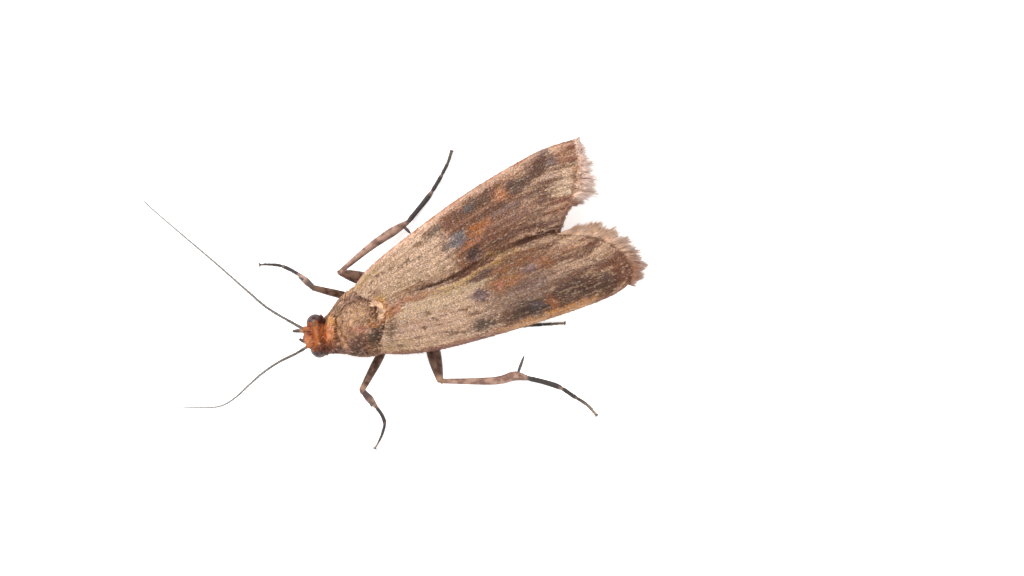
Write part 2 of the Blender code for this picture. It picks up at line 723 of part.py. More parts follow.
def hindwing_top(side, x, y):
    """The height of a folded hindwing, just under the forewing over it."""
    pressed = 0.0
    if side < 0:
        behind = max(0.0, min(1.0, (y - PRESS_START) / PRESS_BLEND))
        pressed = PRESS_DEPTH * behind * max(0.0, PRESS_WIDTH - x)
    return roof_height(x, y) - WING_THICKNESS - GAP - VEIN_HEIGHT - pressed


def hindwing_slab(name, side):
    """A folded hindwing that follows the forewing's underside."""
    columns = 2 * HINDWING_VEINS + 1
    inner = spline(HINDWING_INNER, HINDWING_ROWS)
    outer = spline(HINDWING_OUTER, HINDWING_ROWS)
    top = []
    bottom = []
    for row in range(HINDWING_ROWS):
        upper = []
        lower = []
        for column in range(columns):
            x, y = mix(inner[row], outer[row], column / (columns - 1))
            on_rim = row in (0, HINDWING_ROWS - 1) or column in (0, columns - 1)
            step = WING_RIM_STEP if on_rim else 0.0
            rise = VEIN_HEIGHT if column % 2 and not on_rim else 0.0
            z = hindwing_top(side, x, y)
            upper.append(Vector((side * x, y, z + rise - step)))
            lower.append(Vector((side * x, y, z + step - HINDWING_THICKNESS)))
        top.append(upper)
        bottom.append(lower)
    return bridge_slab(name, top, bottom)


def hindwing_locks(name, side):
    draw = random.Random(31 + side)
    locks = []
    for index in range(HINDWING_LOCKS):
        x, y = mix(Vector(HINDWING_INNER[-1]), Vector(HINDWING_OUTER[-1]), (index + 0.5) / HINDWING_LOCKS)
        start = Vector((side * x, y, hindwing_top(side, x, y) - HINDWING_THICKNESS / 2))
        splay = (index - HINDWING_LOCKS / 2) * HINDWING_LOCK_SPLAY
        end = start + Vector((side * splay, HINDWING_LOCK_LENGTH, -HINDWING_LOCK_LENGTH * REAR_SLOPE))
        locks.append(fringe_lock(name + "_lock", start, end, draw))
    return locks


# Legs

def leg_shape(name, plan):
    coxa, trochanter, knee, ankle = (Vector(point) for point in plan["joints"])
    foot = [Vector((x, y, FOOT_Z)) for x, y in plan["foot"]]
    foot[-1] -= (foot[-1] - foot[-2]).normalized() * FOOT_ROUND_END
    bend = mix(trochanter, knee, 0.5) + Vector((0, 0, FEMUR_ARCH))
    pieces = [
        smooth_tube(name, (coxa, mix(coxa, trochanter, 0.5), trochanter),
                    (COXA_RADIUS, COXA_RADIUS, COXA_RADIUS), 4),
        smooth_tube("femur", (trochanter, bend, knee), FEMUR_RADII, 6),
        smooth_tube("tibia", (knee, mix(knee, ankle, 0.5), ankle), TIBIA_RADII, 6),
        foot_tube([ankle] + foot),
    ]
    pieces += [leg_spur(knee, ankle, part, reach) for part, reach in plan["spurs"]]
    pieces += claws(foot)
    return fuse(pieces)


def foot_tube(points):
    """The five joints of the foot, each a little swollen at its end."""
    joined = [Vector((*point, radius)) for point, radius in zip(points, FOOT_RADII)]
    smooth = spline(joined, FOOT_RINGS)
    radii = [value.w * (1 + FOOT_SWELL * (1 if index % 2 else -1)) for index, value in enumerate(smooth)]
    return tube("foot", [value.xyz for value in smooth], radii)


def spike(name, root, tip, radius):
    """A thin cone with its root at full width."""
    radii = (radius, radius * SPIKE_TAPER, radius * SPIKE_TIP)
    return tube(name, (root, mix(root, tip, SPIKE_MIDDLE), tip), radii, SPIKE_SIDES)


def leg_spur(knee, ankle, part, reach):
    start = mix(knee, ankle, part)
    end = start + Vector((reach[0], reach[1], -SPUR_DROP))
    return spike("spur", start, end, SPUR_RADIUS)


def claws(foot):
    forward = (foot[-1] - foot[-2]).normalized()
    across = Vector((-forward.y, forward.x, 0.0))
    pair = []
    for side in (-1, 1):
        root = foot[-1] + across * side * CLAW_OUT - Vector((0, 0, CLAW_RADIUS))
        tip = root + forward * (CLAW_LENGTH + CLAW_RADIUS) + across * side * CLAW_SPREAD
        tip.z -= CLAW_DROP
        pair.append(spike("claw", root, tip, CLAW_RADIUS))
    return pair


def build():
    for obj in list(bpy.data.objects):
        bpy.data.objects.remove(obj)
    materials = {name: make_material(name, colour, 0.3 if name == "eye" else 0.75)
                 for name, colour in COLOURS.items()}

    thorax_room = thorax_shape("thorax_room", GAP)
    head_room = head_shape("head_room", GAP)
    abdomen_room = abdomen_shape("abdomen_room", GAP)
    floor_room = box("floor_room", (-20, -20, -2), (20, 20, 0))
    guides = [thorax_room, head_room, abdomen_room, floor_room]

    finish(thorax_shape("thorax"), "thorax", materials["thorax"])
    abdomen = fuse([abdomen_shape("abdomen")] + abdomen_tuft())
    finish(cut(abdomen, thorax_room), "abdomen", materials["abdomen"], 30)

    head = cut(head_shape("head"), thorax_room)
    for side_name, side in (("left", 1), ("right", -1)):
        socket = eye_shape("socket", side, GAP)
        cut(head, socket)
        finish(eye_shape("eye", side), "eye_" + side_name, materials["eye"])
        finish(cut(palp_shape("palp", side), head_room), "palp_" + side_name, materials["palp"])
        antenna = cut(antenna_shape("antenna_" + side_name, side), head_room)
        finish(cut(antenna, socket), "antenna_" + side_name, materials["antenna"])
        bpy.data.objects.remove(socket)
    finish(head, "head", materials["head"])

    for name, shape in FOREWINGS.items():
        wing = fuse([forewing_slab(name, shape)] + forewing_locks(name, shape))
        finish(cut(wing, thorax_room), name, materials["forewing"], 25)
    for name, side in (("hindwing_left", 1), ("hindwing_right", -1)):
        wing = fuse([hindwing_slab(name, side)] + hindwing_locks(name, side))
        finish(cut(wing, thorax_room), name, materials["hindwing"], 25)

    for name, plan in LEGS.items():
        leg = leg_shape(name, plan)
        for room in (floor_room, thorax_room, abdomen_room):
            cut(leg, room)
        finish(leg, name, materials["leg"])

    for guide in guides:
        bpy.data.objects.remove(guide)


build()
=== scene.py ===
import json
from math import pi, radians

import bmesh
import bpy
import numpy as np
from mathutils import Matrix, Vector
from mathutils.kdtree import KDTree

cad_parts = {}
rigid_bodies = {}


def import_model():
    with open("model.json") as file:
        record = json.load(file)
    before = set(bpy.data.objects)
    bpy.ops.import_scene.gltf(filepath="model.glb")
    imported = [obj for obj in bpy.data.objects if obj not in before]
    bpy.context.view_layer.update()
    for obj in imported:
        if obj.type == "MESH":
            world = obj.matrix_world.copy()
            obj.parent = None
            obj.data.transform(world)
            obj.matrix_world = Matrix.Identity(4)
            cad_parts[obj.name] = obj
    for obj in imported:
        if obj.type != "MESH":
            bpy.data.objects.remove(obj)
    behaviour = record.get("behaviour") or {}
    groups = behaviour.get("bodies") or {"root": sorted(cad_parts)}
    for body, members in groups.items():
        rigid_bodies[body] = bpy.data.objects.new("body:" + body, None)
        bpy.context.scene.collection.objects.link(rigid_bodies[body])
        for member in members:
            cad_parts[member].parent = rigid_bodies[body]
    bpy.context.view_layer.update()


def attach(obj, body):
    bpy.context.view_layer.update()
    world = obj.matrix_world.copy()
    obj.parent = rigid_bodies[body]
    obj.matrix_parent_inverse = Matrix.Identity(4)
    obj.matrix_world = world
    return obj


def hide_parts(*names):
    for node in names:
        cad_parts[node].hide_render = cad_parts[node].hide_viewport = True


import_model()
mm = 0.001                       # every length below is in millimetres

print("tools")


# Curves and small sums on rows of points

def curveAt(points, where):      # a smooth curve through the points, read at shares of its way
    chain = np.asarray(points, float)
    chain = np.vstack((2 * chain[0] - chain[1], chain, 2 * chain[-1] - chain[-2]))
    spans = len(points) - 1
    reach = np.clip(np.asarray(where, float), 0, 1) * spans
    span = np.minimum(reach.astype(int), spans - 1)
    part = (reach - span)[..., None]
    a, b, c, d = (chain[span + step] for step in range(4))
    return 0.5 * (2 * b + (c - a) * part + (2 * a - 5 * b + 4 * c - d) * part ** 2
                  + (3 * b - a - 3 * c + d) * part ** 3)


def unit(rows):
    return rows / np.maximum(np.linalg.norm(rows, axis=-1, keepdims=True), 1e-12)


def ease(value, low, high):
    part = np.clip((value - low) / (high - low), 0, 1)
    return part * part * (3 - 2 * part)


def onSurface(direction, normals):           # the part of a direction that lies along the surface
    return unit(direction - normals * np.sum(direction * normals, axis=-1, keepdims=True))


# Pieces

def makePiece(name, part, material, replaces=()):
    mesh = bpy.data.meshes.new(name)
    points = np.asarray(part["points"], float)
    mesh.from_pydata((points * mm).tolist(), [], [tuple(face) for face in np.asarray(part["faces"]).tolist()])
    mesh.shade_smooth()
    place = mesh.attributes.new("place", "FLOAT_VECTOR", "POINT")
    place.data.foreach_set("vector", np.asarray(part.get("place", points), np.float32).ravel())
    for label, plain in (("tone", 0.5), ("limb", -1.0)):
        values = part.get(label)
        if values is None:
            values = np.full(len(points), plain)
        layer = mesh.attributes.new(label, "FLOAT", "POINT")
        layer.data.foreach_set("value", np.asarray(values, np.float32))
    if "patch" in part:
        corners = np.zeros(len(mesh.loops), np.int32)
        mesh.loops.foreach_get("vertex_index", corners)
        uv = mesh.uv_layers.new(name="OFBake")
        uv.data.foreach_set("uv", part["patch"][corners].astype(np.float32).ravel())
    mesh.materials.append(material)
    piece = bpy.data.objects.new(name, mesh)
    bpy.context.scene.collection.objects.link(piece)
    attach(piece, "root")
    if replaces:
        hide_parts(*replaces)
    print(" ", name, len(mesh.polygons), "triangles")


def joinParts(parts):            # several parts as one, with their faces renumbered
    joined = {}
    offset = 0
    faces = []
    for part in parts:
        faces.append(np.asarray(part["faces"]) + offset)
        offset += len(part["points"])
    joined["faces"] = np.vstack(faces)
    for key in parts[0]:
        if key != "faces":
            joined[key] = np.concatenate([part[key] for part in parts])
    return joined


def ringPart(rings, first, last):            # a sleeve through rings of points, closed by a point at each end
    rings = np.asarray(rings)
    rows, sides = rings.shape[:2]
    points = np.vstack((rings.reshape(-1, 3), first, last))
    here = np.arange(sides)
    after = (here + 1) % sides
    faces = []
    for row in range(rows - 1):
        low, high = row * sides, (row + 1) * sides
        faces.append(np.column_stack((low + here, low + after, high + after)))
        faces.append(np.column_stack((low + here, high + after, high + here)))
    top = (rows - 1) * sides
    faces.append(np.column_stack((after, here, np.full(sides, rows * sides))))
    faces.append(np.column_stack((top + here, top + after, np.full(sides, rows * sides + 1))))
    return {"points": points, "faces": np.vstack(faces)}


def tubePart(path, radii, sides):            # a round-ended tube
    path = np.asarray(path, float)
    radii = np.asarray(radii, float)
    along = unit(np.gradient(path, axis=0))
    across = np.cross(along[0], (0.0, 0.0, 1.0))
    rings = []
    angles = 2 * pi * np.arange(sides) / sides
    for middle, way, radius in zip(path, along, radii):
        across = across - way * across.dot(way)
        across /= np.linalg.norm(across)
        third = np.cross(way, across)
        rings.append(middle + radius * (np.outer(np.cos(angles), across) + np.outer(np.sin(angles), third)))
    first = path[0] - along[0] * radii[0] * 0.7
    last = path[-1] + along[-1] * radii[-1] * 0.7
    return ringPart(rings, first, last)


def slabPart(top, bottom):       # a closed thin sheet between two grids of points, split alike on both faces
    rows, columns = top.shape[:2]
    number = np.arange(rows * columns).reshape(rows, columns)
    under = number + rows * columns
    a, b = number[:-1, :-1].ravel(), number[:-1, 1:].ravel()
    c, d = number[1:, 1:].ravel(), number[1:, :-1].ravel()
    shift = rows * columns
    faces = [np.column_stack((a, b, c)), np.column_stack((a, c, d)),
             np.column_stack((c, b, a)) + shift, np.column_stack((d, c, a)) + shift]
    rim = np.concatenate((number[0, :-1], number[:-1, -1], number[-1, :0:-1], number[:0:-1, 0]))
    below = np.concatenate((under[0, :-1], under[:-1, -1], under[-1, :0:-1], under[:0:-1, 0]))
    nextRim, nextBelow = np.roll(rim, -1), np.roll(below, -1)
    faces.append(np.column_stack((nextRim, rim, below)))
    faces.append(np.column_stack((nextRim, below, nextBelow)))
    points = np.vstack((top.reshape(-1, 3), bottom.reshape(-1, 3)))
    return {"points": points, "faces": np.vstack(faces)}


# Scales and hairs: closed, thin, cupped vanes that grow from their roots along the lie of the coat

vaneShapes = {                   # half outlines, along and across; thickness of the middle, bend of the edges
    "shingle": {"thick": 0.004, "cup": 0.22,
                "outline": ((0.0, 0.35), (0.35, 0.95), (0.78, 0.95), (1.0, 0.40))},
    "toothed": {"thick": 0.004, "cup": 0.22,
                "outline": ((0.0, 0.35), (0.45, 0.90), (1.0, 0.78), (0.90, 0.22))},
    "lance": {"thick": 0.005, "cup": 0.30,
              "outline": ((0.0, 0.45), (0.40, 1.00), (0.80, 0.62), (1.0, 0.12))},
}
vaneMiddle = 0.55                # how far along a vane its thickest point lies
patchSize = 0.003                # how much of the bake's map one scale takes


def growVanes(shape, roots, along, up, look):
    style = vaneShapes[shape]
    half = np.array(style["outline"])
    ring = np.vstack((half, half[::-1] * (1, -1)))
    sides = len(ring)
    a = np.append(ring[:, 0], (vaneMiddle, vaneMiddle))
    b = np.append(ring[:, 1], (0.0, 0.0))
    thick = np.append(np.zeros(sides), (style["thick"], -style["thick"]))
    up = unit(up)
    along = onSurface(along, up)
    across = np.cross(up, along)
    length, halfWidth = look["length"][:, None], look["halfWidth"][:, None]
    height = look["sunk"][:, None] + look["lift"][:, None] * a + look["curl"][:, None] * a ** 2
    height = height - style["cup"] * halfWidth * b ** 2 + thick
    points = (roots[:, None] + along[:, None] * (length * a)[..., None]
              + across[:, None] * (halfWidth * b)[..., None] + up[:, None] * height[..., None])
    here = np.arange(sides)
    after = (here + 1) % sides
    faces = np.vstack((np.column_stack((after, here, np.full(sides, sides))),
                       np.column_stack((here, after, np.full(sides, sides + 1)))))
    count = len(roots)
    faces = (faces[None] + (np.arange(count) * (sides + 2))[:, None, None]).reshape(-1, 3)
    local = np.column_stack(((a - 0.5) * patchSize, b * patchSize / 2))
    patch = np.clip(look["patch"][:, None] + local[None], 0, 1)
    return {
        "points": points.reshape(-1, 3),
        "faces": faces,
        "place": np.repeat(look["place"], sides + 2, axis=0),
        "tone": np.repeat(look["tone"], sides + 2),
        "limb": np.repeat(look.get("limb", np.full(count, -1.0)), sides + 2),
        "patch": patch.reshape(-1, 2),
    }


def turned(along, up, angle):    # each direction turned on its surface by its own angle
    across = np.cross(up, along)
    return along * np.cos(angle)[:, None] + across * np.sin(angle)[:, None]


print("materials")


# Shader nodes

def tint(red, green, blue):      # a colour as a screen shows it, 0 to 255, in the shader's own scale
    values = np.array((red, green, blue)) / 255
    return (*np.where(values > 0.04045, ((values + 0.055) / 1.055) ** 2.4, values / 12.92), 1.0)


def addNode(tree, kind, inputs=None, **settings):
    made = tree.nodes.new(kind)
    for key, value in settings.items():
        setattr(made, key, value)
    for key, value in (inputs or {}).items():
        if isinstance(value, bpy.types.NodeSocket):
            tree.links.new(value, made.inputs[key])
        else:
            made.inputs[key].default_value = value
    return made


def mathNode(tree, operation, *values, clamp=False):
    made = addNode(tree, "ShaderNodeMath", dict(enumerate(values)), operation=operation, use_clamp=clamp)
    return made.outputs[0]


def times(tree, first, second):
    return mathNode(tree, "MULTIPLY", first, second)


def vectorNode(tree, operation, *values, output="Vector"):
    made = addNode(tree, "ShaderNodeVectorMath", dict(enumerate(values)), operation=operation)
    return made.outputs[output]


def mixColour(tree, factor, first, second):
    inputs = {0: factor, 6: first, 7: second}
    return addNode(tree, "ShaderNodeMix", inputs, data_type="RGBA", blend_type="MIX").outputs[2]


def rangeNode(tree, value, low, high, toLow=0.0, toHigh=1.0, smooth=False):
    inputs = {0: value, 1: low, 2: high, 3: toLow, 4: toHigh}
    kind = "SMOOTHSTEP" if smooth else "LINEAR"
    return addNode(tree, "ShaderNodeMapRange", inputs, interpolation_type=kind).outputs[0]


def noiseNode(tree, place, scale, detail=2.0, output="Fac"):
    inputs = {"Vector": place, "Scale": scale, "Detail": detail}
    return addNode(tree, "ShaderNodeTexNoise", inputs).outputs[output]


def newGroup(name, inputs, outputs):
    tree = bpy.data.node_groups.new(name, "ShaderNodeTree")
    kinds = {"vector": "NodeSocketVector", "colour": "NodeSocketColor", "value": "NodeSocketFloat"}
    for label, kind, value in inputs:
        tree.interface.new_socket(label, in_out="INPUT", socket_type=kinds[kind]).default_value = value
    for label, kind in outputs:
        tree.interface.new_socket(label, in_out="OUTPUT", socket_type=kinds[kind])
    return tree, tree.nodes.new("NodeGroupInput").outputs, tree.nodes.new("NodeGroupOutput").inputs


def useGroup(tree, group, **inputs):
    made = tree.nodes.new("ShaderNodeGroup")
    made.node_tree = group
    for key, value in inputs.items():
        if isinstance(value, bpy.types.NodeSocket):
            tree.links.new(value, made.inputs[key])
        else:
            made.inputs[key].default_value = value
    return made.outputs


# A spot: full inside its reach, with an edge that single scales break up

def makeSpotGroup():
    tree, given, out = newGroup("spot", [
        ("Place", "vector", (0, 0, 0)), ("Middle", "vector", (0, 0, 0)), ("Reach", "vector", (1, 1, 1)),
        ("Turn", "value", 0.0), ("Softness", "value", 0.4), ("Strength", "value", 1.0),
        ("Tone", "value", 0.5), ("Grain", "value", 0.6)], [("Mask", "value")])
    offset = vectorNode(tree, "SUBTRACT", given["Place"], given["Middle"])
    rotated = addNode(tree, "ShaderNodeVectorRotate", {"Vector": offset, "Angle": given["Turn"]},
                      rotation_type="Z_AXIS").outputs[0]
    away = vectorNode(tree, "LENGTH", vectorNode(tree, "DIVIDE", rotated, given["Reach"]), output="Value")
    inside = mathNode(tree, "DIVIDE", mathNode(tree, "SUBTRACT", 1.0, away), given["Softness"])
    grain = times(tree, mathNode(tree, "SUBTRACT", given["Tone"], 0.5), given["Grain"])
    whole = mathNode(tree, "ADD", mathNode(tree, "ADD", inside, 0.5), grain, clamp=True)
    tree.links.new(times(tree, whole, given["Strength"]), out["Mask"])
    return tree


# Streaks that run along the first direction of a place

def makeStreakGroup():
    tree, given, out = newGroup("streaks", [
        ("Place", "vector", (0, 0, 0)), ("Stretch", "vector", (1, 1, 1)), ("Scale", "value", 1.0),
        ("Low", "value", 0.45), ("High", "value", 0.6)], [("Mask", "value")])
    stretched = vectorNode(tree, "MULTIPLY", given["Place"], given["Stretch"])
    noise = noiseNode(tree, stretched, given["Scale"], 3.0)
    mask = rangeNode(tree, noise, given["Low"], given["High"], smooth=True)
    tree.links.new(mask, out["Mask"])
    return tree


# Each scale has a shade of its own: some darker, some paler and warmer

def makeShadeGroup():
    tree, given, out = newGroup("scale shade", [
        ("Colour", "colour", (0.5, 0.5, 0.5, 1)), ("Tone", "value", 0.5), ("Spread", "value", 0.3),
        ("Warmth", "value", 0.1)], [("Colour", "colour")])
    centred = mathNode(tree, "SUBTRACT", given["Tone"], 0.5)
    bright = mathNode(tree, "ADD", times(tree, centred, given["Spread"]), 1.0)
    other = mathNode(tree, "FRACT", times(tree, given["Tone"], 7.3))
    warm = times(tree, mathNode(tree, "SUBTRACT", other, 0.5), given["Warmth"])
    hue = addNode(tree, "ShaderNodeHueSaturation", {
        "Color": given["Colour"], "Value": bright,
        "Saturation": mathNode(tree, "ADD", 1.0, times(tree, warm, 3.0)),
        "Hue": mathNode(tree, "ADD", 0.5, times(tree, warm, 0.12))}).outputs[0]
    tree.links.new(hue, out["Colour"])
    return tree


# Fine relief for a bump: ridges and grain at one scale

def makeReliefGroup():
    tree, given, out = newGroup("fine relief", [
        ("Place", "vector", (0, 0, 0)), ("Scale", "value", 1.0), ("Stretch", "vector", (1, 1, 1))],
        [("Height", "value")])
    stretched = vectorNode(tree, "MULTIPLY", given["Place"], given["Stretch"])
    coarse = noiseNode(tree, stretched, given["Scale"], 4.0)
    cells = addNode(tree, "ShaderNodeTexVoronoi", {"Vector": stretched, "Scale": given["Scale"]}).outputs[0]
    tree.links.new(mathNode(tree, "ADD", coarse, times(tree, cells, 0.5)), out["Height"])
    return tree


spotGroup = makeSpotGroup()
streakGroup = makeStreakGroup()
shadeGroup = makeShadeGroup()
reliefGroup = makeReliefGroup()


def streaks(tree, place, **sizes):
    return useGroup(tree, streakGroup, Place=place, **sizes)


def wobbled(tree, place, where, scale, reach):       # a place pushed about, so that no border runs straight
    noise = noiseNode(tree, where, scale, 2.0, "Color")
    push = vectorNode(tree, "MULTIPLY", vectorNode(tree, "SUBTRACT", noise, (0.5, 0.5, 0.5)), reach)
    return vectorNode(tree, "ADD", place, push)


def paintSpots(tree, colour, place, tone, spots, grain=0.8):
    for middle, reach, turn, softness, strength, shade in spots:
        middle3 = (*middle, 0.0)[:3]
        reach3 = (*reach, 9.0)[:3]
        mask = useGroup(tree, spotGroup, Place=place, Middle=middle3, Reach=reach3, Turn=radians(turn),
                        Softness=softness, Strength=strength, Tone=tone, Grain=grain)[0]
        colour = mixColour(tree, mask, colour, tint(*shade))
    return colour


# Wing markings. A place is how far along the wing and how far across it from its front edge, 0 to 1 each.
# Each spot: middle, reach, turn, softness of its edge, strength, colour.

veinCount = 8                    # side by side in each forewing, with a furrow between each two

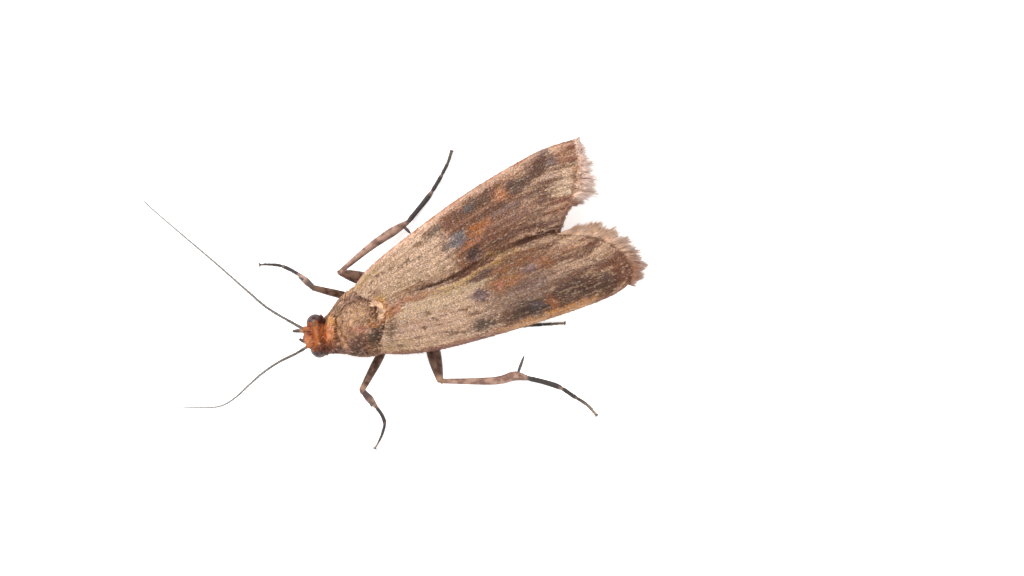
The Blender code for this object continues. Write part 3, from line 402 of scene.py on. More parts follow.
wingMarks = {
    "left": {
        "base": (209, 174, 147), "baseDark": (166, 129, 106), "field": (150, 115, 92),
        "rear": (192, 150, 119), "rearDark": (88, 54, 40), "fieldFrom": 0.46,
        "fringe": (216, 180, 154), "fringeDark": (110, 70, 52), "fringeTip": (246, 230, 220),
        "fringeFront": (150, 102, 80), "fringeRoot": (160, 114, 90), "fringeRear": (208, 172, 146),
        "spots": [
            ((0.11, 0.14), (0.10, 0.12), 0, 0.9, 0.55, (180, 148, 112)),
            ((0.20, 0.42), (0.10, 0.10), 0, 0.9, 0.50, (196, 158, 138)),
            ((0.28, 0.74), (0.22, 0.12), 0, 0.9, 0.60, (216, 186, 152)),
            ((0.40, 0.88), (0.08, 0.07), 0, 0.8, 0.55, (172, 146, 104)),
            ((0.22, 0.93), (0.10, 0.06), 0, 0.8, 0.70, (170, 112, 80)),
            ((0.03, 0.85), (0.050, 0.16), 0, 0.8, 0.80, (208, 148, 98)),
            ((0.105, 0.83), (0.036, 0.11), 0, 0.7, 0.85, (188, 128, 104)),
            ((0.072, 0.76), (0.008, 0.12), 0, 0.8, 0.80, (150, 100, 60)),
            ((0.148, 0.90), (0.006, 0.11), 0, 0.8, 0.80, (138, 92, 60)),
            ((0.56, 0.40), (0.12, 0.11), 0, 0.9, 0.70, (160, 132, 114)),
            ((0.62, 0.49), (0.06, 0.09), 0, 0.8, 0.80, (122, 94, 86)),
            ((0.455, 0.62), (0.028, 0.090), 0, 0.6, 0.88, (94, 76, 84)),
            ((0.555, 0.63), (0.065, 0.080), 0, 0.7, 0.80, (166, 112, 76)),
            ((0.53, 0.62), (0.018, 0.035), 0, 0.8, 0.60, (192, 128, 110)),
            ((0.65, 0.65), (0.025, 0.050), 0, 0.8, 0.75, (148, 122, 124)),
            ((0.70, 0.66), (0.030, 0.090), 0, 0.8, 0.80, (166, 110, 80)),
            ((0.63, 0.80), (0.10, 0.050), 0, 0.8, 0.85, (152, 100, 68)),
            ((0.74, 0.88), (0.08, 0.040), 0, 0.8, 0.70, (136, 88, 64)),
            ((0.49, 0.76), (0.06, 0.030), 0, 0.7, 0.80, (218, 190, 154)),
            ((0.52, 0.85), (0.055, 0.045), 0, 0.6, 0.88, (96, 68, 62)),
            ((0.60, 0.940), (0.15, 0.035), 0, 1.0, 0.60, (204, 158, 104)),
            ((0.40, 0.920), (0.12, 0.030), 0, 0.8, 0.60, (222, 182, 128)),
            ((0.085, 0.50), (0.030, 0.150), 0, 1.0, 0.70, (112, 88, 70)),
            ((0.42, 0.20), (0.038, 0.090), 0, 0.9, 0.92, (72, 58, 52)),
            ((0.49, 0.19), (0.040, 0.070), 0, 0.8, 0.75, (108, 78, 64)),
            ((0.51, 0.30), (0.09, 0.035), 0, 0.8, 0.60, (134, 104, 90)),
            ((0.570, 0.21), (0.060, 0.120), 0, 0.8, 0.94, (64, 49, 43)),
            ((0.585, 0.24), (0.020, 0.040), 0, 0.8, 0.60, (104, 92, 98)),
            ((0.622, 0.21), (0.014, 0.110), 0, 0.6, 0.85, (166, 104, 68)),
            ((0.69, 0.27), (0.066, 0.080), 0, 0.9, 0.88, (80, 57, 50)),
            ((0.70, 0.36), (0.10, 0.030), 0, 0.8, 0.60, (114, 84, 74)),
            ((0.785, 0.19), (0.125, 0.140), -6, 0.9, 0.92, (76, 52, 42)),
            ((0.83, 0.25), (0.030, 0.050), 0, 0.8, 0.60, (104, 90, 88)),
            ((0.25, 0.03), (0.25, 0.045), 0, 0.7, 0.85, (130, 84, 64)),
            ((0.30, 0.005), (0.30, 0.014), 0, 0.8, 0.85, (104, 58, 46)),
            ((0.45, 0.02), (0.06, 0.030), 0, 0.8, 0.70, (104, 70, 60)),
            ((0.62, 0.03), (0.15, 0.060), 0, 0.7, 0.85, (196, 146, 100)),
            ((0.66, 0.07), (0.10, 0.030), 0, 0.8, 0.60, (176, 120, 74)),
            ((0.94, 0.20), (0.08, 0.240), 0, 0.8, 0.85, (118, 72, 56)),
            ((0.90, 0.40), (0.12, 0.060), 0, 0.9, 0.75, (128, 86, 70)),
            ((0.80, 0.50), (0.14, 0.070), 0, 0.8, 0.75, (204, 168, 142)),
            ((0.92, 0.52), (0.09, 0.050), 0, 0.8, 0.80, (222, 182, 150)),
            ((0.84, 0.60), (0.15, 0.035), 0, 0.8, 0.80, (126, 90, 74)),
            ((0.95, 0.64), (0.06, 0.040), 0, 0.8, 0.80, (126, 80, 62)),
            ((0.86, 0.74), (0.12, 0.060), 0, 0.9, 0.75, (200, 148, 122)),
            ((0.93, 0.81), (0.10, 0.110), 0, 0.9, 0.85, (222, 182, 152)),
            ((0.97, 0.56), (0.05, 0.050), 0, 0.9, 0.75, (214, 172, 142)),
            ((0.92, 0.89), (0.09, 0.016), 0, 0.8, 0.70, (140, 96, 74)),
            ((0.94, 0.72), (0.07, 0.016), 0, 0.8, 0.75, (120, 76, 58)),
            ((0.88, 0.01), (0.14, 0.040), 0, 0.7, 0.80, (158, 104, 74)),
            ((0.84, 0.96), (0.11, 0.035), 0, 0.8, 0.80, (206, 168, 142)),
            # painted shade along the seam, where the wings meet
            ((0.52, 0.99), (0.14, 0.030), 0, 0.7, 0.85, (92, 52, 42)),
        ],
    },
    "right": {
        "base": (217, 182, 154), "baseDark": (172, 136, 110), "field": (148, 103, 79),
        "rear": (208, 166, 136), "rearDark": (108, 70, 54), "fieldFrom": 0.465,
        "fringe": (236, 206, 188), "fringeDark": (148, 102, 80), "fringeTip": (252, 240, 234),
        "fringeFront": (232, 202, 188), "fringeRoot": (168, 118, 94), "fringeRear": (140, 96, 76),
        "spots": [
            ((0.13, 0.10), (0.12, 0.10), 0, 0.9, 0.60, (178, 144, 96)),
            ((0.24, 0.92), (0.22, 0.08), 0, 0.9, 0.60, (160, 114, 84)),
            ((0.02, 0.90), (0.040, 0.22), 0, 0.8, 0.80, (216, 160, 116)),
            ((0.065, 0.74), (0.030, 0.12), 0, 0.7, 0.85, (198, 152, 88)),
            ((0.090, 0.52), (0.030, 0.10), 0, 0.8, 0.70, (150, 108, 80)),
            ((0.22, 0.68), (0.14, 0.12), 0, 0.9, 0.40, (176, 148, 114)),
            ((0.55, 0.04), (0.45, 0.060), 0, 0.8, 0.75, (208, 166, 140)),
            ((0.50, 0.00), (0.50, 0.022), 0, 0.7, 0.85, (170, 108, 76)),
            ((0.455, 0.45), (0.010, 0.220), 0, 0.8, 0.80, (120, 92, 76)),
            ((0.497, 0.48), (0.034, 0.120), 0, 0.5, 0.92, (120, 114, 118)),
            ((0.45, 0.17), (0.022, 0.070), 0, 0.6, 0.85, (90, 74, 68)),
            ((0.505, 0.22), (0.035, 0.090), 0, 0.7, 0.85, (124, 82, 64)),
            ((0.585, 0.19), (0.070, 0.080), 0, 0.7, 0.85, (98, 76, 64)),
            ((0.565, 0.19), (0.020, 0.040), 0, 0.8, 0.60, (106, 100, 102)),
            ((0.58, 0.49), (0.042, 0.110), 0, 0.6, 0.90, (178, 114, 74)),
            ((0.55, 0.65), (0.040, 0.060), 0, 0.7, 0.80, (182, 122, 92)),
            ((0.545, 0.80), (0.034, 0.090), 0, 0.5, 0.92, (74, 56, 52)),
            ((0.56, 0.90), (0.030, 0.050), 0, 0.7, 0.70, (112, 88, 88)),
            ((0.63, 0.37), (0.08, 0.045), 12, 0.7, 0.80, (106, 74, 60)),
            ((0.52, 0.34), (0.020, 0.050), 0, 0.7, 0.60, (120, 78, 62)),
            ((0.685, 0.25), (0.022, 0.070), 0, 0.6, 0.90, (200, 128, 82)),
            ((0.75, 0.25), (0.048, 0.070), 0, 0.8, 0.92, (84, 66, 62)),
            ((0.815, 0.19), (0.038, 0.090), 0, 0.8, 0.92, (88, 62, 52)),
            ((0.845, 0.08), (0.025, 0.060), 0, 0.8, 0.85, (94, 64, 56)),
            ((0.870, 0.17), (0.024, 0.070), 0, 0.8, 0.80, (138, 116, 112)),
            ((0.845, 0.31), (0.040, 0.050), 0, 0.9, 0.75, (190, 160, 142)),
            ((0.915, 0.29), (0.032, 0.060), 0, 0.8, 0.80, (206, 172, 146)),
            ((0.925, 0.22), (0.012, 0.020), 0, 0.8, 0.80, (112, 78, 60)),
            ((0.905, 0.38), (0.012, 0.018), 0, 0.8, 0.80, (116, 82, 64)),
            ((0.70, 0.43), (0.06, 0.050), 0, 0.8, 0.70, (142, 116, 110)),
            ((0.80, 0.39), (0.06, 0.060), 0, 0.8, 0.70, (120, 90, 76)),
            ((0.72, 0.60), (0.09, 0.080), 0, 0.9, 0.70, (152, 114, 100)),
            ((0.83, 0.52), (0.03, 0.080), 0, 0.8, 0.60, (124, 92, 80)),
            ((0.66, 0.71), (0.08, 0.060), 0, 0.8, 0.60, (130, 90, 74)),
            ((0.80, 0.68), (0.07, 0.060), 0, 0.8, 0.60, (132, 100, 86)),
            ((0.72, 0.84), (0.14, 0.060), 0, 0.8, 0.80, (106, 72, 60)),
            ((0.93, 0.46), (0.075, 0.110), 0, 0.9, 0.92, (226, 192, 162)),
            ((0.955, 0.54), (0.035, 0.050), 0, 0.9, 0.70, (236, 210, 182)),
            ((0.97, 0.10), (0.07, 0.120), 0, 0.8, 0.75, (166, 112, 88)),
            ((0.94, 0.62), (0.09, 0.035), 0, 0.8, 0.85, (152, 98, 80)),
            ((0.94, 0.74), (0.08, 0.060), 0, 0.8, 0.75, (178, 130, 108)),
            ((0.93, 0.87), (0.10, 0.060), 0, 0.8, 0.75, (126, 92, 82)),
            # painted shade along the seam, where the wings meet
            ((0.88, 0.97), (0.14, 0.040), 0, 0.8, 0.85, (88, 56, 48)),
            ((0.62, 0.955), (0.05, 0.030), 0, 0.7, 0.70, (176, 134, 88)),
            # painted shade along the seam, where the wings meet
            ((0.36, 0.97), (0.16, 0.035), 0, 0.7, 0.85, (102, 64, 44)),
            ((0.985, 0.34), (0.010, 0.360), 0, 1.0, 0.80, (148, 90, 64)),
        ],
    },
}
darkDots = {                     # single dark scales in short rows over the pale part of the wing
    "left": [(0.12, 0.16), (0.22, 0.38), (0.27, 0.45), (0.33, 0.21), (0.36, 0.18), (0.40, 0.38), (0.37, 0.50),
             (0.31, 0.24), (0.19, 0.27), (0.25, 0.60), (0.15, 0.52)],
    "right": [(0.18, 0.25), (0.21, 0.26), (0.26, 0.29), (0.29, 0.33), (0.33, 0.34), (0.37, 0.38),
              (0.40, 0.20), (0.43, 0.14), (0.30, 0.81), (0.41, 0.78), (0.24, 0.55), (0.12, 0.30)],
}


def makeWingGroup(side):
    marks = wingMarks[side]
    tree, given, out = newGroup(side + " wing markings",
                                [("Place", "vector", (0, 0, 0)), ("Tone", "value", 0.5)],
                                [("Colour", "colour")])
    place, tone = given["Place"], given["Tone"]
    even = vectorNode(tree, "MULTIPLY", place, (7.6, 2.0, 1.0))
    bent = wobbled(tree, place, even, 4.5, (0.05, 0.14, 0.0))
    parts = addNode(tree, "ShaderNodeSeparateXYZ", {0: bent}).outputs
    across = addNode(tree, "ShaderNodeSeparateXYZ", {0: place}).outputs
    fine = streaks(tree, even, Stretch=(0.30, 2.4, 1.0), Scale=6.0, Low=0.42, High=0.62)[0]
    broad = streaks(tree, even, Stretch=(0.22, 1.6, 1.0), Scale=4.0, Low=0.44, High=0.58)[0]
    jitter = times(tree, mathNode(tree, "SUBTRACT", tone, 0.5), 0.05)
    fineDark = times(tree, fine, mathNode(tree, "ADD", times(tree, tone, 0.4), 0.5))
    fineBase = times(tree, fineDark, 0.85)
    base = mixColour(tree, fineBase, tint(*marks["base"]), tint(*marks["baseDark"]))
    inField = rangeNode(tree, mathNode(tree, "ADD", parts[0], jitter), marks["fieldFrom"] - 0.03,
                        marks["fieldFrom"] + 0.03, smooth=True)
    fineField = times(tree, fineDark, 0.8)
    field = mixColour(tree, fineField, tint(*marks["field"]), tint(*marks["rearDark"]))
    colour = mixColour(tree, inField, base, field)
    atRear = rangeNode(tree, parts[0], 0.66, 0.80, smooth=True)
    rear = mixColour(tree, times(tree, broad, 0.9), tint(*marks["rear"]), tint(*marks["rearDark"]))
    colour = mixColour(tree, atRear, colour, rear)
    colour = paintSpots(tree, colour, bent, tone, marks["spots"])
    dots = [(middle, (0.012, 0.028), 0, 0.8, 0.8, (112, 84, 64)) for middle in darkDots[side]]
    colour = paintSpots(tree, colour, bent, tone, dots, 1.4)
    # along the wing: painted shade in the furrows between the vein ridges, with dark dashes in them, and dark
    # and pale streaks towards the rear, the pale ones partly a painted highlight
    offMiddle = mathNode(tree, "FRACT", times(tree, across[1], float(veinCount)))
    offMiddle = mathNode(tree, "ABSOLUTE", mathNode(tree, "SUBTRACT", offMiddle, 0.5))
    # painted shade: the furrows between the vein ridges are darkened, more towards the rear
    furrowShade = rangeNode(tree, offMiddle, 0.30, 0.50, smooth=True)
    furrowShadeDepth = rangeNode(tree, across[0], 0.35, 0.85, 0.16, 0.36)
    colour = mixColour(tree, times(tree, furrowShade, furrowShadeDepth), colour, tint(112, 76, 58))
    dash = streaks(tree, even, Stretch=(1.7, 0.9, 1.0), Scale=5.0, Low=0.54, High=0.60)[0]
    dash = times(tree, dash, rangeNode(tree, offMiddle, 0.38, 0.47, 0.0, 0.65))
    colour = mixColour(tree, dash, colour, tint(116, 84, 64))
    dark = streaks(tree, even, Stretch=(0.16, 3.4, 1.0), Scale=7.0, Low=0.50, High=0.60)[0]
    dark = times(tree, dark, rangeNode(tree, across[0], 0.40, 0.75, 0.10, 0.50))
    colour = mixColour(tree, dark, colour, tint(98, 64, 46))
    # pale streaks towards the rear: partly the wing's own streaks, partly a painted highlight along the
    # ridges
    light = streaks(tree, even, Stretch=(0.14, 2.6, 1.0), Scale=9.0, Low=0.54, High=0.64)[0]
    light = times(tree, light, rangeNode(tree, across[0], 0.50, 0.85, 0.10, 0.42))
    colour = mixColour(tree, light, colour, tint(222, 186, 152))
    rare = rangeNode(tree, tone, 0.92, 0.95)
    colour = mixColour(tree, times(tree, rare, 0.30), colour, tint(104, 76, 60))
    pale = rangeNode(tree, tone, 0.08, 0.04)
    colour = mixColour(tree, times(tree, pale, 0.22), colour, tint(240, 216, 188))
    tuft = streaks(tree, place, Stretch=(0.0, 1.0, 0.0), Scale=24.0, Low=0.48, High=0.58)[0]
    tuft = times(tree, tuft, mathNode(tree, "ADD", times(tree, tone, 0.6), 0.4))
    edge = mixColour(tree, tuft, tint(*marks["fringe"]), tint(*marks["fringeDark"]))
    fades = ((1, 0.36, 0.22, 0.8, "fringeFront"), (2, 0.40, 0.05, 0.7, "fringeRoot"),
             (2, 0.55, 1.0, 0.6, "fringeTip"), (1, 0.58, 0.66, 0.9, "fringeRear"))
    for way, low, high, most, name in fades:
        reach = rangeNode(tree, across[way], low, high, 0.0, most)
        edge = mixColour(tree, reach, edge, tint(*marks[name]))
    onFringe = rangeNode(tree, across[0], 1.012, 1.018)
    onFringe = times(tree, onFringe, rangeNode(tree, across[2], 0.1, 0.5, 0.45, 0.9))
    tree.links.new(mixColour(tree, onFringe, colour, edge), out["Colour"])
    return tree


# Body markings, at places in millimetres seen from above

bodyMarks = {
    "base": (176, 130, 99), "dark": (104, 68, 46),
    "spots": [
        ((0.08, 2.4, 0.9), (1.2, 2.4, 2.0), 0, 0.3, 1.0, (184, 162, 136)),
        ((0.10, -1.0, 0.55), (1.2, 1.5, 0.55), 0, 0.6, 0.9, (190, 170, 146)),
        ((-0.04, -2.58, 1.42), (0.80, 0.34, 0.9), 20, 0.25, 1.0, (174, 98, 56)),
        ((0.02, -2.76, 1.5), (0.34, 0.10, 0.9), 20, 0.8, 0.75, (216, 140, 92)),
        ((-0.28, -2.61, 1.6), (0.18, 0.11, 0.8), 0, 0.7, 0.90, (120, 38, 14)),
        ((-0.08, -2.48, 1.6), (0.36, 0.040, 0.8), 20, 0.9, 0.60, (132, 84, 50)),
        ((-0.10, -2.56, 1.6), (0.36, 0.040, 0.8), 20, 0.9, 0.75, (118, 54, 26)),
        ((0.02, -2.56, 1.6), (0.05, 0.10, 0.8), 20, 0.9, 0.70, (140, 76, 48)),
        ((-0.06, -2.56, 0.85), (0.70, 0.60, 0.35), 0, 0.6, 0.9, (196, 164, 134)),
        ((-0.05, -2.30, 1.4), (0.66, 0.100, 0.9), 20, 0.5, 0.95, (164, 86, 40)),
        ((-0.06, -2.38, 1.5), (0.50, 0.034, 0.9), 20, 0.7, 0.85, (140, 72, 34)),
        ((0.02, -2.09, 1.6), (0.64, 0.130, 0.9), 21, 0.5, 0.97, (200, 122, 78)),
        ((0.00, -2.07, 1.8), (0.26, 0.070, 0.8), 21, 0.8, 0.80, (218, 154, 112)),
        ((-0.34, -1.96, 1.8), (0.14, 0.100, 0.8), 21, 0.7, 0.85, (222, 168, 108)),
        ((0.31, -2.19, 1.6), (0.14, 0.130, 0.8), 21, 0.8, 0.85, (116, 68, 48)),
        ((0.02, -1.93, 1.8), (0.60, 0.034, 0.8), 23, 0.7, 0.75, (112, 72, 50)),
        ((-0.56, -1.96, 1.3), (0.14, 0.18, 0.8), 0, 0.7, 0.80, (110, 64, 46)),
        ((0.52, -2.17, 1.5), (0.13, 0.34, 0.8), 23, 0.6, 0.90, (104, 66, 54)),
        ((0.46, -2.30, 1.6), (0.03, 0.10, 0.8), 23, 0.8, 0.70, (176, 128, 108)),
        ((-0.41, -2.15, 1.5), (0.16, 0.14, 0.8), 10, 0.6, 0.97, (66, 22, 10)),
        ((0.32, -2.42, 1.5), (0.24, 0.07, 0.8), 15, 0.8, 0.80, (96, 48, 36)),
        ((-0.52, -1.62, 1.9), (0.18, 0.20, 0.8), 0, 0.8, 0.75, (128, 98, 74)),
        ((-0.10, -1.48, 2.1), (0.35, 0.22, 0.8), 0, 0.9, 0.60, (194, 156, 124)),
        ((-0.22, -1.09, 2.1), (0.30, 0.28, 0.8), 0, 0.9, 0.75, (188, 150, 118)),
        ((0.10, -1.60, 2.1), (0.12, 0.08, 0.8), 23, 0.8, 0.70, (132, 92, 70)),
        ((-0.10, -1.70, 2.1), (0.26, 0.035, 0.8), 23, 0.8, 0.60, (124, 84, 62)),
        ((-0.69, -0.99, 1.9), (0.24, 0.40, 0.8), 0, 0.8, 0.85, (168, 130, 112)),
        ((-0.86, -1.20, 1.9), (0.14, 0.24, 0.8), 0, 0.8, 0.70, (194, 152, 112)),
        ((-0.40, -0.78, 2.1), (0.14, 0.16, 0.8), 0, 0.8, 0.60, (142, 106, 90)),
        ((0.25, -1.30, 2.1), (0.12, 0.24, 0.8), 23, 0.8, 0.85, (166, 112, 92)),
        ((0.66, -1.47, 1.8), (0.36, 0.34, 0.9), 0, 0.5, 0.92, (92, 62, 52)),
        ((0.86, -1.04, 1.8), (0.28, 0.30, 0.9), 0, 0.7, 0.80, (138, 102, 76)),
        ((0.76, -1.16, 1.8), (0.22, 0.05, 0.9), 0, 0.8, 0.70, (96, 70, 54)),
        ((0.54, -0.90, 2.0), (0.26, 0.26, 0.8), 0, 0.6, 0.94, (72, 62, 54)),
        ((0.44, -0.74, 2.0), (0.12, 0.14, 0.8), 0, 0.7, 0.92, (70, 52, 42)),
        ((0.28, -0.88, 2.2), (0.09, 0.16, 0.8), 23, 0.8, 0.85, (164, 104, 62)),
        ((-0.38, -2.42, 1.6), (0.07, 0.10, 0.8), 0, 0.8, 0.80, (136, 98, 66)),
        ((0.25, -2.55, 1.6), (0.07, 0.12, 0.8), 0, 0.8, 0.80, (112, 64, 48)),
        ((0.13, -0.36, 2.1), (0.22, 0.10, 0.8), 23, 0.6, 0.95, (196, 120, 68)),
        ((-0.25, -0.46, 2.1), (0.15, 0.10, 0.8), 0, 0.7, 0.90, (208, 154, 84)),
        ((0.00, -0.55, 2.1), (0.30, 0.12, 0.8), 23, 0.6, 0.95, (232, 188, 152)),
        ((-0.06, -0.74, 2.2), (0.13, 0.10, 0.8), 0, 0.7, 0.95, (122, 80, 58)),
    ],
}
limbShades = {
    "femur": (112, 84, 70), "femurDark": (70, 48, 38), "tibia": (164, 132, 118), "tibiaDark": (116, 88, 78),
    "frontTibia": (84, 66, 62), "knee": (158, 126, 104), "foot": (60, 54, 53), "footEnd": (146, 128, 108),
    "ring": (158, 128, 112), "palp": (196, 158, 134), "palpTip": (98, 90, 88), "scape": (160, 98, 64),
}


def makeBodyGroup():
    tree, given, out = newGroup("body markings", [
        ("Place", "vector", (0, 0, 0)), ("Tone", "value", 0.5), ("Limb", "value", -1.0)],
        [("Colour", "colour")])
    place, tone, limb = given["Place"], given["Tone"], given["Limb"]
    bent = wobbled(tree, place, place, 6.0, (0.16, 0.16, 0.0))
    mottle = streaks(tree, place, Stretch=(0.7, 1.8, 1.0), Scale=6.0, Low=0.46, High=0.60)[0]
    blotch = times(tree, mottle, 0.75)
    colour = mixColour(tree, blotch, tint(*bodyMarks["base"]), tint(*bodyMarks["dark"]))
    colour = paintSpots(tree, colour, bent, tone, bodyMarks["spots"])
    ways = addNode(tree, "ShaderNodeSeparateXYZ", {0: place}).outputs
    onBack = rangeNode(tree, ways[1], -2.05, -1.90)
    bundle = streaks(tree, bent, Stretch=(1.5, 0.8, 1.0), Scale=9.0, Low=0.50, High=0.58)[0]
    bundle = times(tree, bundle, onBack)
    colour = mixColour(tree, times(tree, bundle, 0.36), colour, tint(92, 56, 40))
    bundle = streaks(tree, bent, Stretch=(0.9, 1.3, 0.8), Scale=11.0, Low=0.54, High=0.62)[0]
    bundle = times(tree, bundle, onBack)
    colour = mixColour(tree, times(tree, bundle, 0.30), colour, tint(226, 180, 146))
    pale = rangeNode(tree, tone, 0.12, 0.06)
    colour = mixColour(tree, times(tree, pale, 0.28), colour, tint(244, 206, 172))
    rare = rangeNode(tree, tone, 0.90, 0.94)
    colour = mixColour(tree, times(tree, rare, 0.30), colour, tint(96, 64, 48))
    noisyLimb = mathNode(tree, "ADD", limb, times(tree, mathNode(tree, "SUBTRACT", tone, 0.5), 0.10))
    legMottle = noiseNode(tree, place, 5.0, 3.0)
    legMottle = rangeNode(tree, legMottle, 0.38, 0.62, smooth=True)
    inFront = rangeNode(tree, ways[1], -1.45, -1.60)
    onLeft = rangeNode(tree, ways[0], 0.0, 0.2)
    femur = mixColour(tree, legMottle, tint(*limbShades["femurDark"]), tint(*limbShades["femur"]))
    tibia = mixColour(tree, legMottle, tint(*limbShades["tibiaDark"]), tint(*limbShades["tibia"]))
    darkEnd = times(tree, rangeNode(tree, noisyLimb, 1.55, 1.30), inFront)
    tibia = mixColour(tree, darkEnd, tibia, tint(*limbShades["frontTibia"]))
    fading = times(tree, rangeNode(tree, limb, 2.4, 3.0), rangeNode(tree, onLeft, 0.0, 1.0, 0.25, 1.0))
    foot = mixColour(tree, fading, tint(*limbShades["foot"]), tint(*limbShades["footEnd"]))
    leg = mixColour(tree, rangeNode(tree, noisyLimb, 0.94, 1.04), femur, tibia)
    knee = times(tree, rangeNode(tree, noisyLimb, 0.86, 0.94), rangeNode(tree, noisyLimb, 1.05, 1.00))
    knee = times(tree, knee, rangeNode(tree, onLeft, 0.0, 1.0, 0.10, 0.75))
    leg = mixColour(tree, knee, leg, tint(*limbShades["knee"]))
    toFoot = rangeNode(tree, noisyLimb, 1.94, 2.02)
    leg = mixColour(tree, toFoot, leg, foot)
    joint = mathNode(tree, "FRACT", times(tree, limb, 5.0))
    ring = times(tree, rangeNode(tree, joint, 0.84, 0.94), toFoot)
    leg = mixColour(tree, times(tree, ring, 0.6), leg, tint(*limbShades["ring"]))
    palpShade = mixColour(tree, rangeNode(tree, noisyLimb, 4.70, 4.84), tint(*limbShades["palp"]),
                          tint(*limbShades["palpTip"]))
    leg = mixColour(tree, rangeNode(tree, limb, 3.4, 3.6), leg, palpShade)
    leg = mixColour(tree, rangeNode(tree, limb, 5.4, 5.6), leg, tint(*limbShades["scape"]))
    onLeg = rangeNode(tree, limb, -0.35, -0.05)
    tree.links.new(mixColour(tree, onLeg, colour, leg), out["Colour"])
    return tree


wingGroups = {side: makeWingGroup(side) for side in wingMarks}
bodyGroup = makeBodyGroup()


def startMaterial(name):
    material = bpy.data.materials.new(name)
    material.use_nodes = True
    tree = material.node_tree
    shader = tree.nodes["Principled BSDF"]
    place = addNode(tree, "ShaderNodeAttribute", attribute_name="place").outputs["Vector"]
    tone = addNode(tree, "ShaderNodeAttribute", attribute_name="tone").outputs["Fac"]
    return material, tree, shader, place, tone


def addRelief(tree, shader, scale, stretch, strength, depth):
    where = addNode(tree, "ShaderNodeTexCoord").outputs["Object"]
    height = useGroup(tree, reliefGroup, Place=where, Scale=scale / mm, Stretch=stretch)[0]
    bump = addNode(tree, "ShaderNodeBump", {"Strength": strength, "Distance": depth * mm, "Height": height})
    tree.links.new(bump.outputs[0], shader.inputs["Normal"])


wingFinish = {"scaleSpread": 0.15, "scaleWarmth": 0.08, "roughness": (0.46, 0.62), "relief": 38.0}


def wingMaterial(side, scales):
    kind = " wing scales" if scales else " wing membrane"
    material, tree, shader, place, tone = startMaterial(side + kind)
    colour = useGroup(tree, wingGroups[side], Place=place, Tone=tone)[0]
    if scales:
        colour = useGroup(tree, shadeGroup, Colour=colour, Tone=tone, Spread=wingFinish["scaleSpread"],
                          Warmth=wingFinish["scaleWarmth"])[0]
    tree.links.new(colour, shader.inputs["Base Color"])
    low, high = wingFinish["roughness"]
    tree.links.new(rangeNode(tree, tone, 0.0, 1.0, low, high), shader.inputs["Roughness"])
    addRelief(tree, shader, wingFinish["relief"], (1.0, 0.35, 1.0), 0.25, 0.004)
    shader.inputs["Specular IOR Level"].default_value = 0.16
    shader.inputs["Sheen Weight"].default_value = 0.02
    shader.inputs["Sheen Roughness"].default_value = 0.4
    return material


def bodyMaterial(name, spread, roughness):
    material, tree, shader, place, tone = startMaterial(name)
    limb = addNode(tree, "ShaderNodeAttribute", attribute_name="limb").outputs["Fac"]
    colour = useGroup(tree, bodyGroup, Place=place, Tone=tone, Limb=limb)[0]
    colour = useGroup(tree, shadeGroup, Colour=colour, Tone=tone, Spread=spread, Warmth=0.07)[0]
    tree.links.new(colour, shader.inputs["Base Color"])
    rough = rangeNode(tree, tone, 0.0, 1.0, roughness - 0.1, roughness + 0.1)
    tree.links.new(rough, shader.inputs["Roughness"])
    addRelief(tree, shader, 30.0, (1.0, 1.0, 1.0), 0.35, 0.006)
    shader.inputs["Specular IOR Level"].default_value = 0.18
    shader.inputs["Sheen Weight"].default_value = 0.02
    return material


# Bare or plainly coloured parts, mottled between two shades.
# Where a third shade is given they fade to it with the limb number.

def hornMaterial(name, shades, roughness, coat=0.0, scale=12.0):
    material, tree, shader, place, tone = startMaterial(name)
    where = addNode(tree, "ShaderNodeTexCoord").outputs["Object"]
    mottle = streaks(tree, where, Stretch=(1, 1, 1), Scale=scale / mm, Low=0.4, High=0.62)[0]
    colour = mixColour(tree, mottle, tint(*shades[0]), tint(*shades[1]))
    if len(shades) > 2:
        limb = addNode(tree, "ShaderNodeAttribute", attribute_name="limb").outputs["Fac"]
        colour = mixColour(tree, rangeNode(tree, limb, 0.12, 0.85), colour, tint(*shades[2]))
    colour = useGroup(tree, shadeGroup, Colour=colour, Tone=tone, Spread=0.4, Warmth=0.1)[0]
    tree.links.new(colour, shader.inputs["Base Color"])
    rough = rangeNode(tree, mottle, 0.0, 1.0, roughness - 0.08, roughness + 0.08)
    tree.links.new(rough, shader.inputs["Roughness"])
    addRelief(tree, shader, scale * 3, (1.0, 1.0, 1.0), 0.3, 0.003)
    shader.inputs["Specular IOR Level"].default_value = 0.3
    shader.inputs["Coat Weight"].default_value = coat
    shader.inputs["Coat Roughness"].default_value = 0.25
    return material


wingSkins = {side: wingMaterial(side, False) for side in wingMarks}
wingScales = {side: wingMaterial(side, True) for side in wingMarks}
skinMaterial = bodyMaterial("body skin", 0.1, 0.55)
coatMaterial = bodyMaterial("body scales", 0.27, 0.55)
hornDark = hornMaterial("claw horn", ((52, 34, 26), (92, 62, 44)), 0.32)
spurHorn = hornMaterial("spur", ((62, 56, 58), (96, 84, 80)), 0.5)
hindSkin = hornMaterial("hindwing", ((196, 186, 172), (176, 164, 150)), 0.42)
hindFringe = hornMaterial("hindwing fringe", ((206, 192, 174), (178, 162, 144)), 0.5)
eyeSkin = hornMaterial("eye", ((42, 24, 22), (84, 58, 56)), 0.38, 0.22, 7.0)
antennaHorn = hornMaterial("antenna", ((88, 78, 72), (118, 108, 102), (146, 142, 138)), 0.5)

print("wings")


# Forewings. They form a roof that sinks towards the rear, and meet at the seam over the back.

